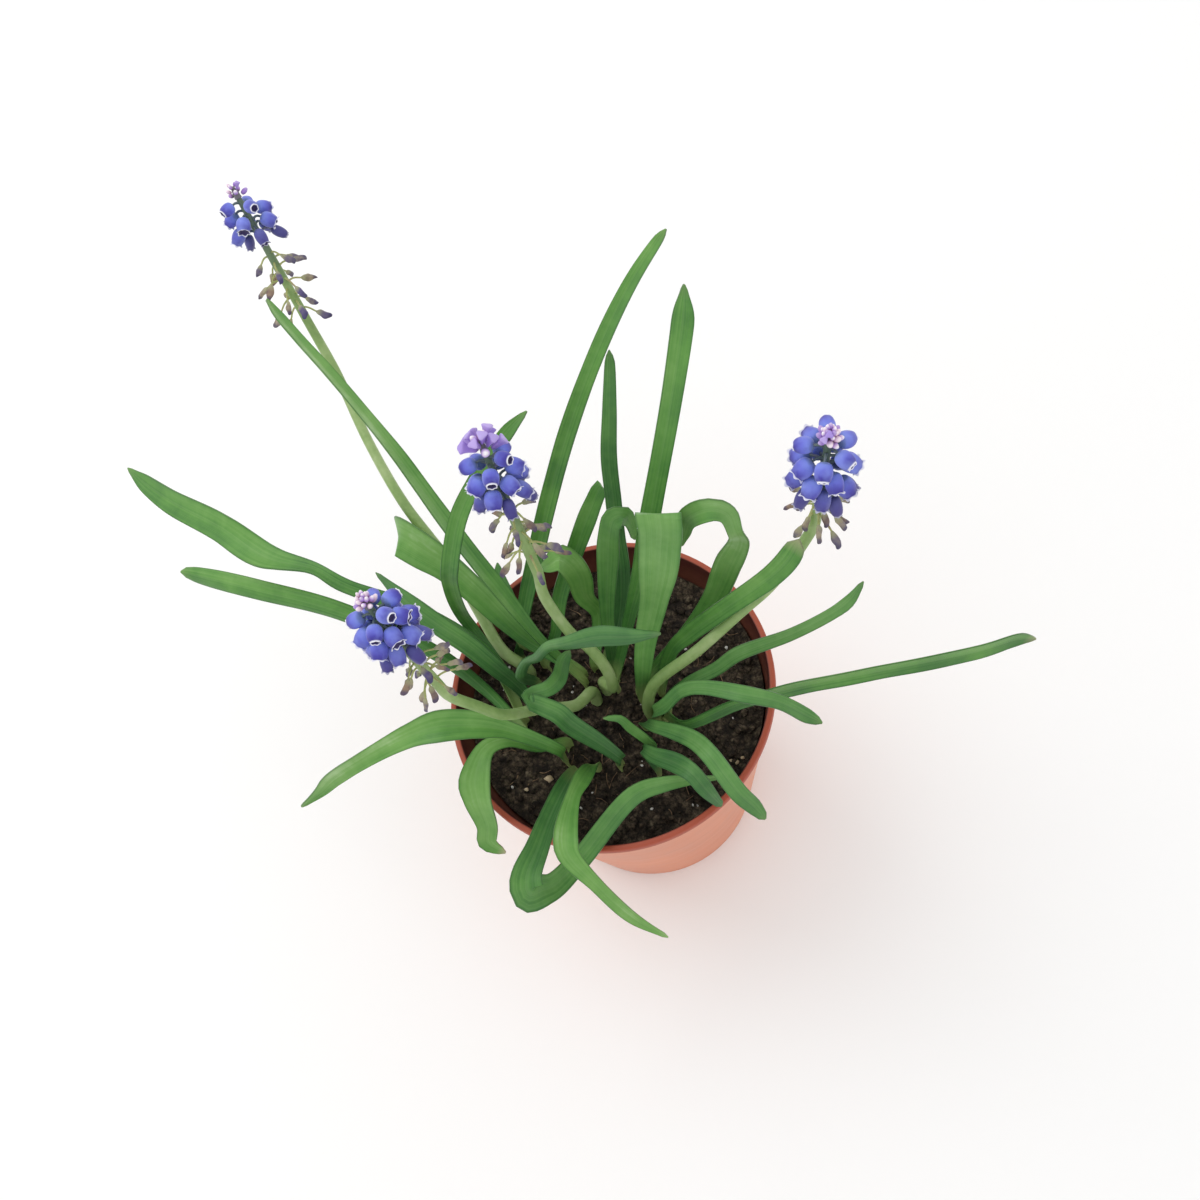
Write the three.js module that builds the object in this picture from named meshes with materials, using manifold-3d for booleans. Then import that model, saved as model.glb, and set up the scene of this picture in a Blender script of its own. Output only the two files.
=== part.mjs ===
// Grape hyacinth in a plastic nursery pot: six bulbs with their leaves and four flower heads.
// Millimetres, +Z up, origin on the pot's axis at the surface it stands on.
import * as THREE from 'three';
import { mergeVertices } from 'three/addons/utils/BufferGeometryUtils.js';
import Module from 'manifold-3d';

const wasm = await Module();
wasm.setup();

// Driving dimensions
const clearance = 0.3;                       // air between touching pieces
const pot = {
  height: 80, rimRadius: 45, footRadius: 31, footWidth: 5, footHeight: 2, padRadius: 12, floor: 1.8,
  wall: 1.0, lipWidth: 0.8, lipHeight: 2.8, sides: 36, holes: 5, holeRadius: 2.5, holeRing: 19,
};
const soilTop = 71;
const bulbShape = { base: 50, top: 71.5, radius: 6.8, neckRadius: 6.2, sides: 12 };
const leafShape = { thickness: 1.0, edge: 0.7, rootWidth: 2.4, sheathWidth: 2.7, rootRing: 5.1 };
const scapeShape = { rootRadius: 1.7, topRadius: 1.4, sides: 8 };
const floretShape = { length: 5.6, width: 4.9, sides: 5, lowReach: 4.2, topReach: 3.4 };

// Bulb places, x and y
const bulbs = {
  a: [10, -4], b: [-4, 4], c: [-8, -16], d: [7, -21], e: [-24, 9], f: [-20, -7],
};

// Each leaf: its bulb, where round the neck it starts, how it turns about its midrib from root to tip,
// both in degrees, and its midrib with the blade's width at each point
const leaves = [
  { bulb: 'b', at: 175, ring: 3.6, sections: 13, roll: [0, 5, 10, 15],
    spine: [[-16, 9, 97, 3.5], [-24, 18, 108, 6.5], [-32, 28, 116, 7], [-42, 42, 127, 6.5],
      [-54, 58, 139, 5.5], [-70, 77, 148, 5], [-75.5, 84, 150, 4], [-79.5, 90, 150, 1]] },
  { bulb: 'b', at: 148, sections: 14, roll: [5, -35, -40, -42, -45],
    spine: [[-22, 14, 86, 4], [-28, 19, 92, 6], [-34, 25, 96, 7.5], [-42, 32, 100, 9],
      [-48, 36, 102, 10.5], [-55, 41, 102, 11], [-57, 43, 98, 10.5], [-59, 46, 90, 7],
      [-60, 48, 82, 2.5]] },
  { bulb: 'e', at: 200, sections: 15, roll: [20, -60, -95, -105, -125, -130, -140, -140],
    spine: [[-30, 8, 84, 2.5], [-36, 16, 90, 3], [-37, 17, 101, 3.5], [-36, 18, 114, 4],
      [-33, 18, 126, 4.5], [-28, 26, 137, 4.5], [-22, 32, 144, 4], [-11, 38, 156, 3.5],
      [-6, 42, 158, 1]] },
  { bulb: 'f', at: 160, sections: 15, roll: [0, -30, -15, 5, 0, -45, -50, -35],
    spine: [[-30, 6, 94, 3.5], [-44, 14, 106, 4], [-66, 21.5, 114, 4.5], [-74, 26.5, 115, 4],
      [-88, 31.5, 114, 7.5], [-104, 43.5, 112, 8], [-122, 55.5, 108, 7], [-132, 63.5, 106, 5],
      [-139, 70, 105, 1]] },
  { bulb: 'f', at: 245, sections: 11, roll: [0, 65, 50, 50, 50],
    spine: [[-33, 0, 83, 3], [-46, 8, 98, 4], [-70, 18, 106, 5], [-93, 26, 106, 5.5],
      [-106, 31, 104, 5.5], [-115, 35, 101, 4.5], [-120, 37, 100, 2.5]] },
  { bulb: 'f', at: 112, sections: 9, roll: [0, 15, 25, 25],
    spine: [[-24, 0, 87, 3.5], [-28, 2, 97, 4.5], [-33, 5, 106, 5], [-39, 8, 113, 5],
      [-46, 13, 117, 4.5], [-56, 23, 117, 1]] },
  { bulb: 'c', at: -160, sections: 14, roll: [10, -50, -45, -30, -40, -60, -90, -95],
    spine: [[-12, -20, 91, 3], [-23, -18, 103, 4.5], [-28, -18, 107, 6.5], [-38, -19, 111, 8],
      [-46, -20.5, 110, 6], [-62, -24, 102, 4.5], [-72, -26, 95, 5], [-77, -27.5, 90, 3.5],
      [-84, -30, 85, 1]] },
  { bulb: 'c', at: 150, sections: 14, roll: [0, 15, 30, 75, 70, 65, 50],
    spine: [[-19, -16, 82, 2.5], [-26, -16, 89, 3.5], [-31, -19, 92, 5], [-33.5, -28, 93, 8.5],
      [-33.5, -32, 90, 7.5], [-33, -37, 81, 5.5], [-34, -40, 76, 5], [-30, -42, 72.5, 1.5]] },
  { bulb: 'c', at: -105, sections: 22,
    roll: [0, -30, -20, -20, -18, -12, -82, -90, -92, -94, -96, -98, -98],
    spine: [[-11, -29, 87, 4.5], [-14, -39, 92, 5], [-16, -48, 96, 6], [-18, -55, 98, 7.5],
      [-18, -58.5, 98, 8.5], [-17.5, -59.5, 96, 8.5], [-15.5, -57.5, 92, 8], [-13, -55.5, 88.5, 6.5],
      [-7, -47.5, 84, 5.5], [7, -31.5, 84, 5], [15.5, -29.5, 86, 4], [30, -28, 84, 1]] },
  { bulb: 'c', at: -50, sections: 14, roll: [0, -65, -90, -65, -55, -65, -70],
    spine: [[-5, -29, 93, 4.5], [-6, -36, 100, 4], [-6.5, -48.5, 106, 6], [-6, -52, 105, 5.5],
      [-0.5, -58, 98, 3.5], [6.5, -64, 87, 3], [14.5, -67.5, 78, 1]] },
  { bulb: 'a', at: -102, sections: 11, roll: [0, 50, 105, 65, 65, 60],
    spine: [[14, -16, 93, 3], [20, -20, 99, 4], [26, -25, 105, 4.5], [30, -30, 108, 4.5],
      [36, -38, 102, 4.5], [39, -40, 97, 4], [41.5, -42, 92, 2]] },
  { bulb: 'd', at: 60, sections: 7, roll: [0, 15, 90, 90],
    spine: [[12, -18, 84, 2.5], [8, -17, 96, 2.5], [6, -16, 100, 2], [2, -16, 101, 1]] },
  { bulb: 'd', at: -10, sections: 9, roll: [10, -20, -15, -30, -20],
    spine: [[10, -20, 87, 2.5], [14, -24, 93, 4], [20, -28, 98, 5], [24.5, -32, 101, 4.5],
      [27.5, -35.5, 98, 4], [30.5, -37.5, 90, 2]] },
  { bulb: 'a', at: 5, sections: 11, roll: [20, 50, 15, 15, 15, 10],
    spine: [[24, -6, 97, 3], [32, -6, 105, 3.5], [38, -5, 111, 3.5], [52, -4.5, 120, 3],
      [62, -0.5, 121.5, 3], [66, 2, 122, 3], [70, 8, 120, 1]] },
  { bulb: 'a', at: -50, ring: 3.8, sections: 12, roll: [0, 30, 80, 55, 40, 45, 50],
    spine: [[14, -12, 93, 3], [18, -14, 102, 3.5], [24, -14, 112, 3.5], [30, -16, 118, 3.5],
      [40, -20, 122, 4], [48, -21, 118, 3.5], [54, -22, 110, 3.5], [57.5, -23, 107, 1.5]] },
  { bulb: 'a', at: -30, sections: 12, roll: [0, 80, 100, 95, 95, 90],
    spine: [[22, -15, 90, 3], [36, -14, 100, 4.5], [52, -14, 109, 6], [68, -13, 112, 5.5],
      [96, -7.5, 108, 6], [106, -3.5, 104, 4.5], [111, -2, 100, 1]] },
  { bulb: 'e', at: 55, sections: 14, roll: [0, 50, 45, 40, 40],
    spine: [[-24, 14, 84, 3], [-22, 22, 90, 4], [-17, 30, 101, 4.5], [-11.5, 36, 114, 4.5],
      [0, 48, 138, 4.5], [12, 60, 157, 4], [20.5, 71.5, 164, 3.5], [27.5, 81.5, 166, 2.5],
      [29.5, 84.5, 166, 1]] },
  { bulb: 'b', at: -12, sections: 13, roll: [15, 95, 100, 105, 110, 105],
    spine: [[9, 8, 104, 3], [16, 13, 125, 4.5], [20.5, 19, 140, 5], [28.5, 36, 160, 5],
      [32.5, 53, 166, 5.5], [33.5, 58, 168, 5], [34, 66, 168, 1]] },
  { bulb: 'a', at: 120, ring: 2.2, channel: 0.05, sections: 22, roll: [0, -33, -39, -39, -34, -35, -36],
    spine: [[12, -2, 98, 4.5], [15, 0, 112, 5.5], [20, 2, 131, 7], [23, 3, 144, 9], [25, 5, 154, 9.5],
      [26, 6, 160, 10], [26, 8, 163, 10.5], [25.5, 10.5, 159, 10], [24, 11, 149, 9.5],
      [22.5, 10.5, 139, 7.5], [21, 9, 131, 4]] },
  { bulb: 'b', at: 98, sections: 14, roll: [0, -13, 0, -12, 4, 55, 53],
    spine: [[-2, 20, 86, 4], [-4, 21, 96, 5.5], [-3.5, 22, 106, 6.5], [-4.5, 22.5, 113, 7],
      [-6.5, 22.5, 117.5, 7], [-10, 22.5, 114, 4], [-14, 24, 109, 1]] },
  { bulb: 'b', at: 26, sections: 15, roll: [0, 72, 69, 64, 62, 25, 62],
    spine: [[3, 12, 100, 3.5], [7.5, 18, 124, 5.5], [9.5, 20, 133, 5.5], [11.5, 21.5, 138, 5.5],
      [14, 21.5, 139, 5], [15, 22, 135, 3], [15, 21, 127, 1.5]] },
  { bulb: 'e', at: 18, sections: 13, roll: [40, 80, 63, 63, 62, 60],
    spine: [[-14, 16, 86, 3], [-11, 22, 95, 4], [-6, 27, 105, 4.5], [0.5, 33, 117, 5],
      [3, 36, 120.5, 4.5], [5.5, 39.5, 122.5, 4], [6, 40, 119, 3], [6, 40, 112, 1]] },
  { bulb: 'b', at: 62, sections: 11, roll: [0, 20, 35, 35, 35],
    spine: [[4, 17, 88, 3], [7, 24, 101, 4.5], [8, 30, 113, 4], [9, 34, 124, 4], [10, 40, 136, 4],
      [12, 48, 146, 3.5], [13, 58, 151, 2.5], [13, 61, 152, 1]] },
  { bulb: 'a', at: 112, sections: 18, roll: [20, -50, -55, -45, -50, -10, 30, 0],
    spine: [[24, 8, 98, 3.5], [31.5, 10, 110, 5.5], [38.5, 10, 132, 6.5], [42, 10, 143, 5],
      [42, 8, 152, 3.5], [41, 9, 159, 4.5], [38, 9, 162, 5.5], [32, 10, 157, 5], [30, 10, 151, 4],
      [28, 10, 143, 1.5]] },
  { bulb: 'a', at: 46, sections: 12, roll: [0, 30, 0, -5, -5, 15],
    spine: [[20, 2, 100, 3.5], [26, 2, 110, 4.5], [36, 0, 127, 4.5], [50, -2, 149, 5],
      [54.5, -1.5, 157, 5], [56.5, 0.5, 160, 4]] },
  { bulb: 'e', at: -58, sections: 14, roll: [0, 40, -15, -75, -80, -95, -100],
    spine: [[-20, -2, 100, 3], [-17, -2, 108, 2.5], [-12, -4, 116, 2.5], [-8, -4, 122, 2.5],
      [-2, -6, 128, 3.5], [7, -7, 133, 5], [14, -8, 134, 4], [22, -8, 134, 1]] },
  { bulb: 'd', at: 165, sections: 17, roll: [0, -10, -20, -20, -30, 35, 0, 0],
    spine: [[4, -22, 86, 3], [0, -20, 93, 4], [-6, -18, 104, 5], [-8, -17, 110, 5],
      [-12, -16, 114, 4.5], [-14, -16, 117, 4], [-14, -14, 116, 3], [-10, -12, 114, 4],
      [-8, -8, 110, 4.5], [-8, 0, 103, 3.5], [-7, 4, 100, 1.5]] },
  { bulb: 'e', at: 118, sections: 7, roll: [0, -10, -25, -15],
    spine: [[-25, 16, 82, 2.5], [-28, 26, 86, 5], [-30, 32, 87, 4], [-31, 38, 87, 1]] },
];

// Each flower: its bulb and offset from the bulb's middle, the stalk's way, and the head's two ends
const flowers = [
  { bulb: 'b', offset: [-1.2, -3.8], florets: 25, buds: 10, spent: 12, size: 1, zones: [0.3, 0.92],
    stalk: [[-8, -7, 88], [-15, -11, 98], [-21.5, -17, 111], [-25.5, -18.5, 122]],
    base: [-30.5, -19, 140], tip: [-41, -8, 168] },
  { bulb: 'b', offset: [2, -0.9], florets: 19, buds: 9, spent: 14, size: 0.98, zones: [0.42, 0.92],
    stalk: [[1.5, -1, 84], [1.7, 0, 97], [-1, 2, 106], [-4, 3, 113], [-8, 7.5, 127]],
    base: [-8, 11, 140], tip: [-13, 26, 174] },
  { bulb: 'a', offset: [0.3, -1.2], florets: 23, buds: 10, spent: 10, size: 1, zones: [0.24, 0.92],
    stalk: [[14.5, -4.5, 94], [27.5, -2.5, 109], [39.5, 0, 124], [49.5, 2, 137]],
    base: [60.5, 9.5, 154], tip: [65.5, 12.5, 186] },
  { bulb: 'e', offset: [0, 0], florets: 13, buds: 8, spent: 15, size: 0.92, zones: [0.48, 0.93],
    stalk: [[-29.5, 12.5, 82], [-36.5, 24.5, 86.5], [-41.5, 34, 93], [-47, 41, 98.5], [-54, 50.5, 104],
      [-63, 67, 110], [-72, 87.5, 117]],
    base: [-78, 99.5, 130], tip: [-89.5, 122.5, 159] },
];

// Finishes
const finish = (color, roughness) => new THREE.MeshStandardMaterial({ color, roughness, metalness: 0 });
const finishes = {
  pot: finish(0xa4492f, 0.45),
  soil: finish(0x2b1f1b, 0.95),
  bulb: finish(0x7d6a3c, 0.7),
  leaf: finish(0x4f8a45, 0.5),
  stalk: finish(0x9bb56c, 0.5),
  floret: finish(0x4a55c4, 0.55),
  crown: finish(0xb79be0, 0.6),
  spent: finish(0x8b7a66, 0.8),
};

// Seeded random numbers, 0 to 1
function randomSource(seed) {
  let state = seed;
  return () => {
    state = (state * 1664525 + 1013904223) % 4294967296;
    return state / 4294967296;
  };
}

const onCircle = (radius, degrees, z = 0) => new THREE.Vector3(
  radius * Math.cos(THREE.MathUtils.degToRad(degrees)),
  radius * Math.sin(THREE.MathUtils.degToRad(degrees)), z);

// A cap's triangles as a fan, for a ring that bulges all round
const fan = (count) => Array.from({ length: count - 2 }, (_, i) => [0, i + 1, i + 2]);

// Rings of points joined into one closed skin, with a cap at each end
function loft(rings, cap = fan(rings[0].length)) {
  const count = rings[0].length;
  const positions = rings.flat().flatMap((point) => [point.x, point.y, point.z]);
  const triangles = [];
  for (let ring = 0; ring + 1 < rings.length; ring += 1) {
    for (let i = 0; i < count; i += 1) {
      const a = ring * count + i;
      const b = ring * count + (i + 1) % count;
      triangles.push(a, b, b + count, a, b + count, a + count);
    }
  }
  const last = (rings.length - 1) * count;
  for (const [a, b, c] of cap) {
    triangles.push(a, c, b, last + a, last + b, last + c);
  }
  const geometry = new THREE.BufferGeometry();
  geometry.setAttribute('position', new THREE.Float32BufferAttribute(positions, 3));
  geometry.setIndex(triangles);
  return geometry;
}

// A turned solid round the z axis, from [radius, height] points that start and end on the axis
function turned(profile, sides, x = 0, y = 0) {
  const points = profile.map(([radius, height]) => new THREE.Vector2(radius, height));
  const geometry = new THREE.LatheGeometry(points, sides);
  geometry.rotateX(Math.PI / 2);
  geometry.translate(x, y, 0);
  return geometry;
}

function solidOf(geometry) {
  const bare = geometry.clone();
  bare.deleteAttribute('normal');
  bare.deleteAttribute('uv');
  const merged = mergeVertices(bare, 1e-4);
  const triangles = [];
  for (let i = 0; i < merged.index.count; i += 3) {
    const [a, b, c] = merged.index.array.slice(i, i + 3);
    if (a !== b && b !== c && c !== a) triangles.push(a, b, c);
  }
  return new wasm.Manifold(new wasm.Mesh({
    numProp: 3,
    vertProperties: new Float32Array(merged.attributes.position.array),
    triVerts: new Uint32Array(triangles),
  }));
}

function geometryOf(solid) {
  const { vertProperties, triVerts } = solid.getMesh();
  const geometry = new THREE.BufferGeometry();
  geometry.setAttribute('position', new THREE.BufferAttribute(vertProperties.slice(), 3));
  geometry.setIndex(new THREE.BufferAttribute(triVerts.slice(), 1));
  return geometry;
}

// The largest connected body, without loose scraps or shut-in hollows
function mainBody(solid) {
  return solid.decompose().reduce((best, body) => (body.volume() > best.volume() ? body : best));
}

function fuse(geometries) {
  const solids = geometries.map(solidOf);
  return mainBody(solids.reduce((joined, solid) => joined.add(solid)));
}

// Frames along a curve that turn as little as they can, starting with the given upper side
function framesAlong(curve, upper, stations) {
  const frames = [];
  const fine = 6;
  let normal = upper.clone();
  for (let step = 0; step <= stations * fine; step += 1) {
    const t = step / (stations * fine);
    const tangent = curve.getTangentAt(t);
    normal = normal.clone().addScaledVector(tangent, -normal.dot(tangent)).normalize();
    if (step % fine === 0) {
      const side = new THREE.Vector3().crossVectors(tangent, normal).normalize();
      frames.push({ t, point: curve.getPointAt(t), tangent, normal, side });
    }
  }
  return frames;
}

// A value from an evenly spaced list, 0 at its start and 1 at its end
function between(values, t) {
  const place = t * (values.length - 1);
  const low = Math.min(Math.floor(place), values.length - 2);
  return THREE.MathUtils.lerp(values[low], values[low + 1], place - low);
}

// A blade with a shallow channel: six points round each section
function buildLeaf(leaf) {
  const [x, y] = bulbs[leaf.bulb];
  const centre = new THREE.Vector3(x, y, 0);
  const foot = onCircle(leaf.ring, leaf.at, bulbShape.top + clearance).add(centre);
  const sheath = onCircle(leaf.ring + 0.3, leaf.at, bulbShape.top + 6).add(centre);
  const midrib = leaf.spine.map(([px, py, pz]) => new THREE.Vector3(px, py, pz));
  const curve = new THREE.CatmullRomCurve3([foot, sheath, ...midrib], false, 'centripetal');
  curve.arcLengthDivisions = 400;
  const inward = onCircle(-1, leaf.at);
  const { thickness, edge, rootWidth, sheathWidth } = leafShape;
  const widths = [rootWidth, sheathWidth, ...leaf.spine.map((point) => point[3])];
  const rings = framesAlong(curve, inward, leaf.sections).map(({ t, point, tangent, normal, side }) => {
    const roll = THREE.MathUtils.degToRad(between(leaf.roll, t));
    const across = side.clone().applyAxisAngle(tangent, roll);
    const above = normal.clone().applyAxisAngle(tangent, roll);
    const half = between(widths, curve.getUtoTmapping(t)) / 2;
    const rise = half * 2 * leaf.channel * (1 - 0.5 * t);
    const at = (u, v) => point.clone().addScaledVector(across, u).addScaledVector(above, v);
    return [at(-half, rise), at(0, 0), at(half, rise),
      at(half, rise - edge), at(0, -thickness), at(-half, rise - edge)];
  });
  return loft(rings, [[0, 1, 4], [0, 4, 5], [1, 2, 3], [1, 3, 4]]);
}

// A round bar along a curve, tapering from one radius to the other
function buildBar(curve, startRadius, endRadius, sides, stations) {
  curve.arcLengthDivisions = 400;
  const upper = new THREE.Vector3(1, 0, 0);
  return loft(framesAlong(curve, upper, stations).map(({ t, point, normal, side }) => {
    const radius = startRadius + (endRadius - startRadius) * t;
    return Array.from({ length: sides }, (_, i) => {
      const angle = (-i / sides) * 2 * Math.PI;
      return point.clone().addScaledVector(side, radius * Math.cos(angle))
        .addScaledVector(normal, radius * Math.sin(angle));
    });
  }));
}

// The inside radius of the tapered pot at a height
function innerRadius(z) {
  const bottom = pot.footRadius - pot.wall;
  const top = pot.rimRadius - pot.lipWidth - pot.wall;
  return bottom + (top - bottom) * (z / pot.height);
}

// The pot: a tapered cup with a lip, a pad and a ring that it stands on, and drain holes between them
function buildPot() {
  const { height, rimRadius, footRadius, footWidth, footHeight, padRadius, floor } = pot;
  const { lipWidth, lipHeight, sides } = pot;
  const wallTop = rimRadius - lipWidth;
  const floorTop = footHeight + floor;
  const cup = turned([
    [0, 0], [padRadius, 0], [padRadius + 1, footHeight],
    [footRadius - footWidth - 1, footHeight], [footRadius - footWidth, 0],
    [footRadius, 0], [wallTop, height - lipHeight], [rimRadius, height - lipHeight + 0.3],
    [rimRadius, height - 0.4], [rimRadius - 0.5, height], [innerRadius(height), height],
    [innerRadius(floorTop), floorTop], [0, floorTop],
  ], sides);
  const holes = Array.from({ length: pot.holes }, (_, i) => {
    const hole = new THREE.CylinderGeometry(pot.holeRadius, pot.holeRadius, 3 * floorTop, 8);
    hole.rotateX(Math.PI / 2);
    const place = onCircle(pot.holeRing, (i * 360) / pot.holes);
    return solidOf(hole.translate(place.x, place.y, 0));
  });
  return geometryOf(holes.reduce((body, hole) => body.subtract(hole), solidOf(cup)));
}

// The height of the soil, uneven and a little higher in the middle
function soilHeight(x, y) {
  const waves = 0.45 * Math.sin(x * 0.33 + 1) * Math.cos(y * 0.29)
    + 0.25 * Math.sin((x + 2 * y) * 0.55) + 0.2 * Math.cos((2 * x - y) * 0.7);
  const mounds = Object.values(bulbs).map(([bx, by]) => Math.exp(-((x - bx) ** 2 + (y - by) ** 2) / 90));
  return soilTop - 0.3 + waves + 0.8 * Math.max(...mounds);
}

// The soil fills the pot and has a well round each bulb
function buildSoil() {
  const { sides } = pot;
  const floorTop = pot.footHeight + pot.floor + clearance;
  const steps = [1, 0.84, 0.62, 0.4, 0.2];
  const edge = (z) => innerRadius(z) - clearance;
  const rim = edge(soilTop - 1);
  const positions = [0, 0, floorTop];
  const ringOf = (radius, height) => {
    const start = positions.length / 3;
    for (let i = 0; i < sides; i += 1) {
      const { x, y } = onCircle(radius, (i * 360) / sides);
      positions.push(x, y, height(x, y));
    }
    return Array.from({ length: sides }, (_, i) => start + i);
  };
  const low = ringOf(edge(floorTop), () => floorTop);
  const rings = [low, ...steps.map((step) => ringOf(rim * step, soilHeight))];
  positions.push(0, 0, soilHeight(0, 0));
  const top = positions.length / 3 - 1;
  const triangles = [];
  for (let i = 0; i < sides; i += 1) {
    const j = (i + 1) % sides;
    triangles.push(0, rings[0][j], rings[0][i]);
    for (let k = 0; k + 1 < rings.length; k += 1) {
      const [under, over] = [rings[k], rings[k + 1]];
      triangles.push(under[i], under[j], over[j], under[i], over[j], over[i]);
    }
    const inner = rings[rings.length - 1];
    triangles.push(inner[i], inner[j], top);
  }
  const geometry = new THREE.BufferGeometry();
  geometry.setAttribute('position', new THREE.Float32BufferAttribute(positions, 3));
  geometry.setIndex(triangles);
  const wells = Object.values(bulbs)
    .map(([x, y]) => solidOf(turned(bulbProfile(clearance), bulbShape.sides, x, y)));
  return geometryOf(wells.reduce((body, well) => body.subtract(well), solidOf(geometry)));
}

// A bulb's outline, or the outline of the well that holds it at some clearance
function bulbProfile(offset = 0) {
  const { base, top, radius, neckRadius } = bulbShape;
  const rise = top - base;
  const lid = offset > 0 ? 4 : 0;
  return [
    [0, base - offset], [radius * 0.5 + offset, base - offset],
    [radius * 0.86 + offset, base + rise * 0.14], [radius + offset, base + rise * 0.38],
    [radius * 0.95 + offset, base + rise * 0.6],
    [neckRadius + offset, base + rise * 0.85], [neckRadius + offset, top + lid], [0, top + lid],
  ];
}

// A flower stalk from its bulb to the foot of its head
function buildScape(flower) {
  const [x, y] = bulbs[flower.bulb];
  const [dx, dy] = flower.offset;
  const foot = new THREE.Vector3(x + dx, y + dy, bulbShape.top + clearance);
  const base = new THREE.Vector3(...flower.base);
  const axis = new THREE.Vector3(...flower.tip).sub(base).normalize();
  const way = [foot, foot.clone().add(new THREE.Vector3(0, 0, 7)),
    ...flower.stalk.map((point) => new THREE.Vector3(...point)),
    base.clone().addScaledVector(axis, -4), base.clone().addScaledVector(axis, -2 * clearance)];
  const curve = new THREE.CatmullRomCurve3(way, false, 'centripetal');
  return buildBar(curve, scapeShape.rootRadius, scapeShape.topRadius, scapeShape.sides, 11);
}

// A little round body: rings of [centre, radius] that all face along one direction
function buildBud(direction, rings, sides) {
  const turn = new THREE.Quaternion().setFromUnitVectors(new THREE.Vector3(0, 0, 1), direction);
  return loft(rings.map(([centre, radius]) => Array.from({ length: sides }, (_, i) => {
    const angle = (i / sides) * 2 * Math.PI;
    return new THREE.Vector3(radius * Math.cos(angle), radius * Math.sin(angle), 0)
      .applyQuaternion(turn).add(centre);
  })));
}

// Rings for such a body from [distance, radius] steps along a direction
const ringsAlong = (start, direction, steps) => steps
  .map(([distance, radius]) => [start.clone().addScaledVector(direction, distance), radius]);

// A flower head's frame: its foot, its axis and two sides
function headFrame(flower) {
  const base = new THREE.Vector3(...flower.base);
  const axis = new THREE.Vector3(...flower.tip).sub(base);
  const length = axis.length();
  axis.normalize();
  const side = new THREE.Vector3().crossVectors(axis, new THREE.Vector3(0, 0, 1)).normalize();
  const other = new THREE.Vector3().crossVectors(axis, side);
  const at = (distance) => base.clone().addScaledVector(axis, distance);
  const outward = (turns) => side.clone().multiplyScalar(Math.cos(turns * 2 * Math.PI))
    .addScaledVector(other, Math.sin(turns * 2 * Math.PI));
  return { axis, length, at, outward };
}

const golden = 0.381966;

const isClear = (geometry, solid) => solidOf(geometry).minGap(solid, 2 * clearance) >= clearance;

// The core that a zone's flowers grow from
function buildCore(frame, from, to, fromRadius, toRadius) {
  return buildBud(frame.axis, [[frame.at(from), fromRadius], [frame.at(to), toRadius]], 6);
}

// Blue florets: plump bells, hanging from short pedicels low on the head and standing out at its top
function buildRaceme(flower, frame, from, to) {
  const { length, width, sides, lowReach, topReach } = floretShape;
  const parts = [buildCore(frame, from, to, 1.5, 1.0)];
  for (let i = 0; i < flower.florets; i += 1) {
    const along = (i + 0.5) / flower.florets;
    const nod = THREE.MathUtils.lerp(1.7, 0.1, along);
    const size = flower.size * THREE.MathUtils.lerp(1, 0.8, along * along);
    const outward = frame.outward(i * golden);
    const direction = outward.clone().addScaledVector(frame.axis, -0.5 * nod)
      .addScaledVector(new THREE.Vector3(0, 0, 1), -0.6 * nod).normalize();
    const start = frame.at(THREE.MathUtils.lerp(from + 4.5, to - 2, along));
    const reach = THREE.MathUtils.lerp(lowReach, topReach, along) * size;
    const neck = start.clone().addScaledVector(outward, reach);
    const bell = ringsAlong(neck, direction,
      [[0, 0.6], [0.4 * length * size, 0.5 * width * size], [length * size, 0.28 * width * size]]);
    parts.push(buildBud(direction, [[start, 0.7], ...bell], sides));
  }
  return fuse(parts);
}

// Small pale buds that crowd the tip
function buildCrown(flower, frame, from, raceme) {
  const parts = [buildCore(frame, from, frame.length - 1, 0.9, 0.5)];
  for (let i = 0; i < flower.buds; i += 1) {
    const along = (i + 0.5) / flower.buds;
    const lift = THREE.MathUtils.lerp(0.9, 3, along);
    const direction = frame.outward(i * golden).addScaledVector(frame.axis, lift).normalize();
    const start = frame.at(THREE.MathUtils.lerp(from + 0.8, frame.length - 1.4, along));
    const reach = THREE.MathUtils.lerp(3.4, 2.4, along) * flower.size;
    const steps = [[0.2, 0.35], [reach * 0.62, 0.9], [reach, 0.4]];
    const bud = buildBud(direction, ringsAlong(start, direction, steps), 4);
    if (isClear(bud, raceme)) parts.push(bud);
  }
  return fuse(parts);
}

// Withered flowers on longer pedicels below the blue ones, kept clear of those
function buildSpent(flower, frame, from, to, raceme, random) {
  const parts = [buildCore(frame, from, to, 1.4, 1.4)];
  for (let i = 0; i < flower.spent; i += 1) {
    const along = (i + 0.5) / flower.spent;
    const start = frame.at(THREE.MathUtils.lerp(from + 1, to - 1.5, along));
    const nod = THREE.MathUtils.lerp(-0.1, 0.9, random());
    const direction = frame.outward(i * golden).addScaledVector(frame.axis, -nod).normalize();
    const reach = THREE.MathUtils.lerp(5.6, 4.2, along) * THREE.MathUtils.lerp(0.85, 1.15, random());
    const bell = THREE.MathUtils.lerp(3.4, 4.4, random());
    const steps = [[0.4, 0.42], [reach, 0.4], [reach + bell * 0.4, 1.2], [reach + bell, 0.6]];
    const withered = buildBud(direction, ringsAlong(start, direction, steps), 4);
    if (isClear(withered, raceme)) parts.push(withered);
  }
  return fuse(parts);
}

// The assembly
const plant = new THREE.Group();

function addPiece(name, geometry, material) {
  const mesh = new THREE.Mesh(geometry, material);
  mesh.name = name;
  plant.add(mesh);
}

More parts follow.
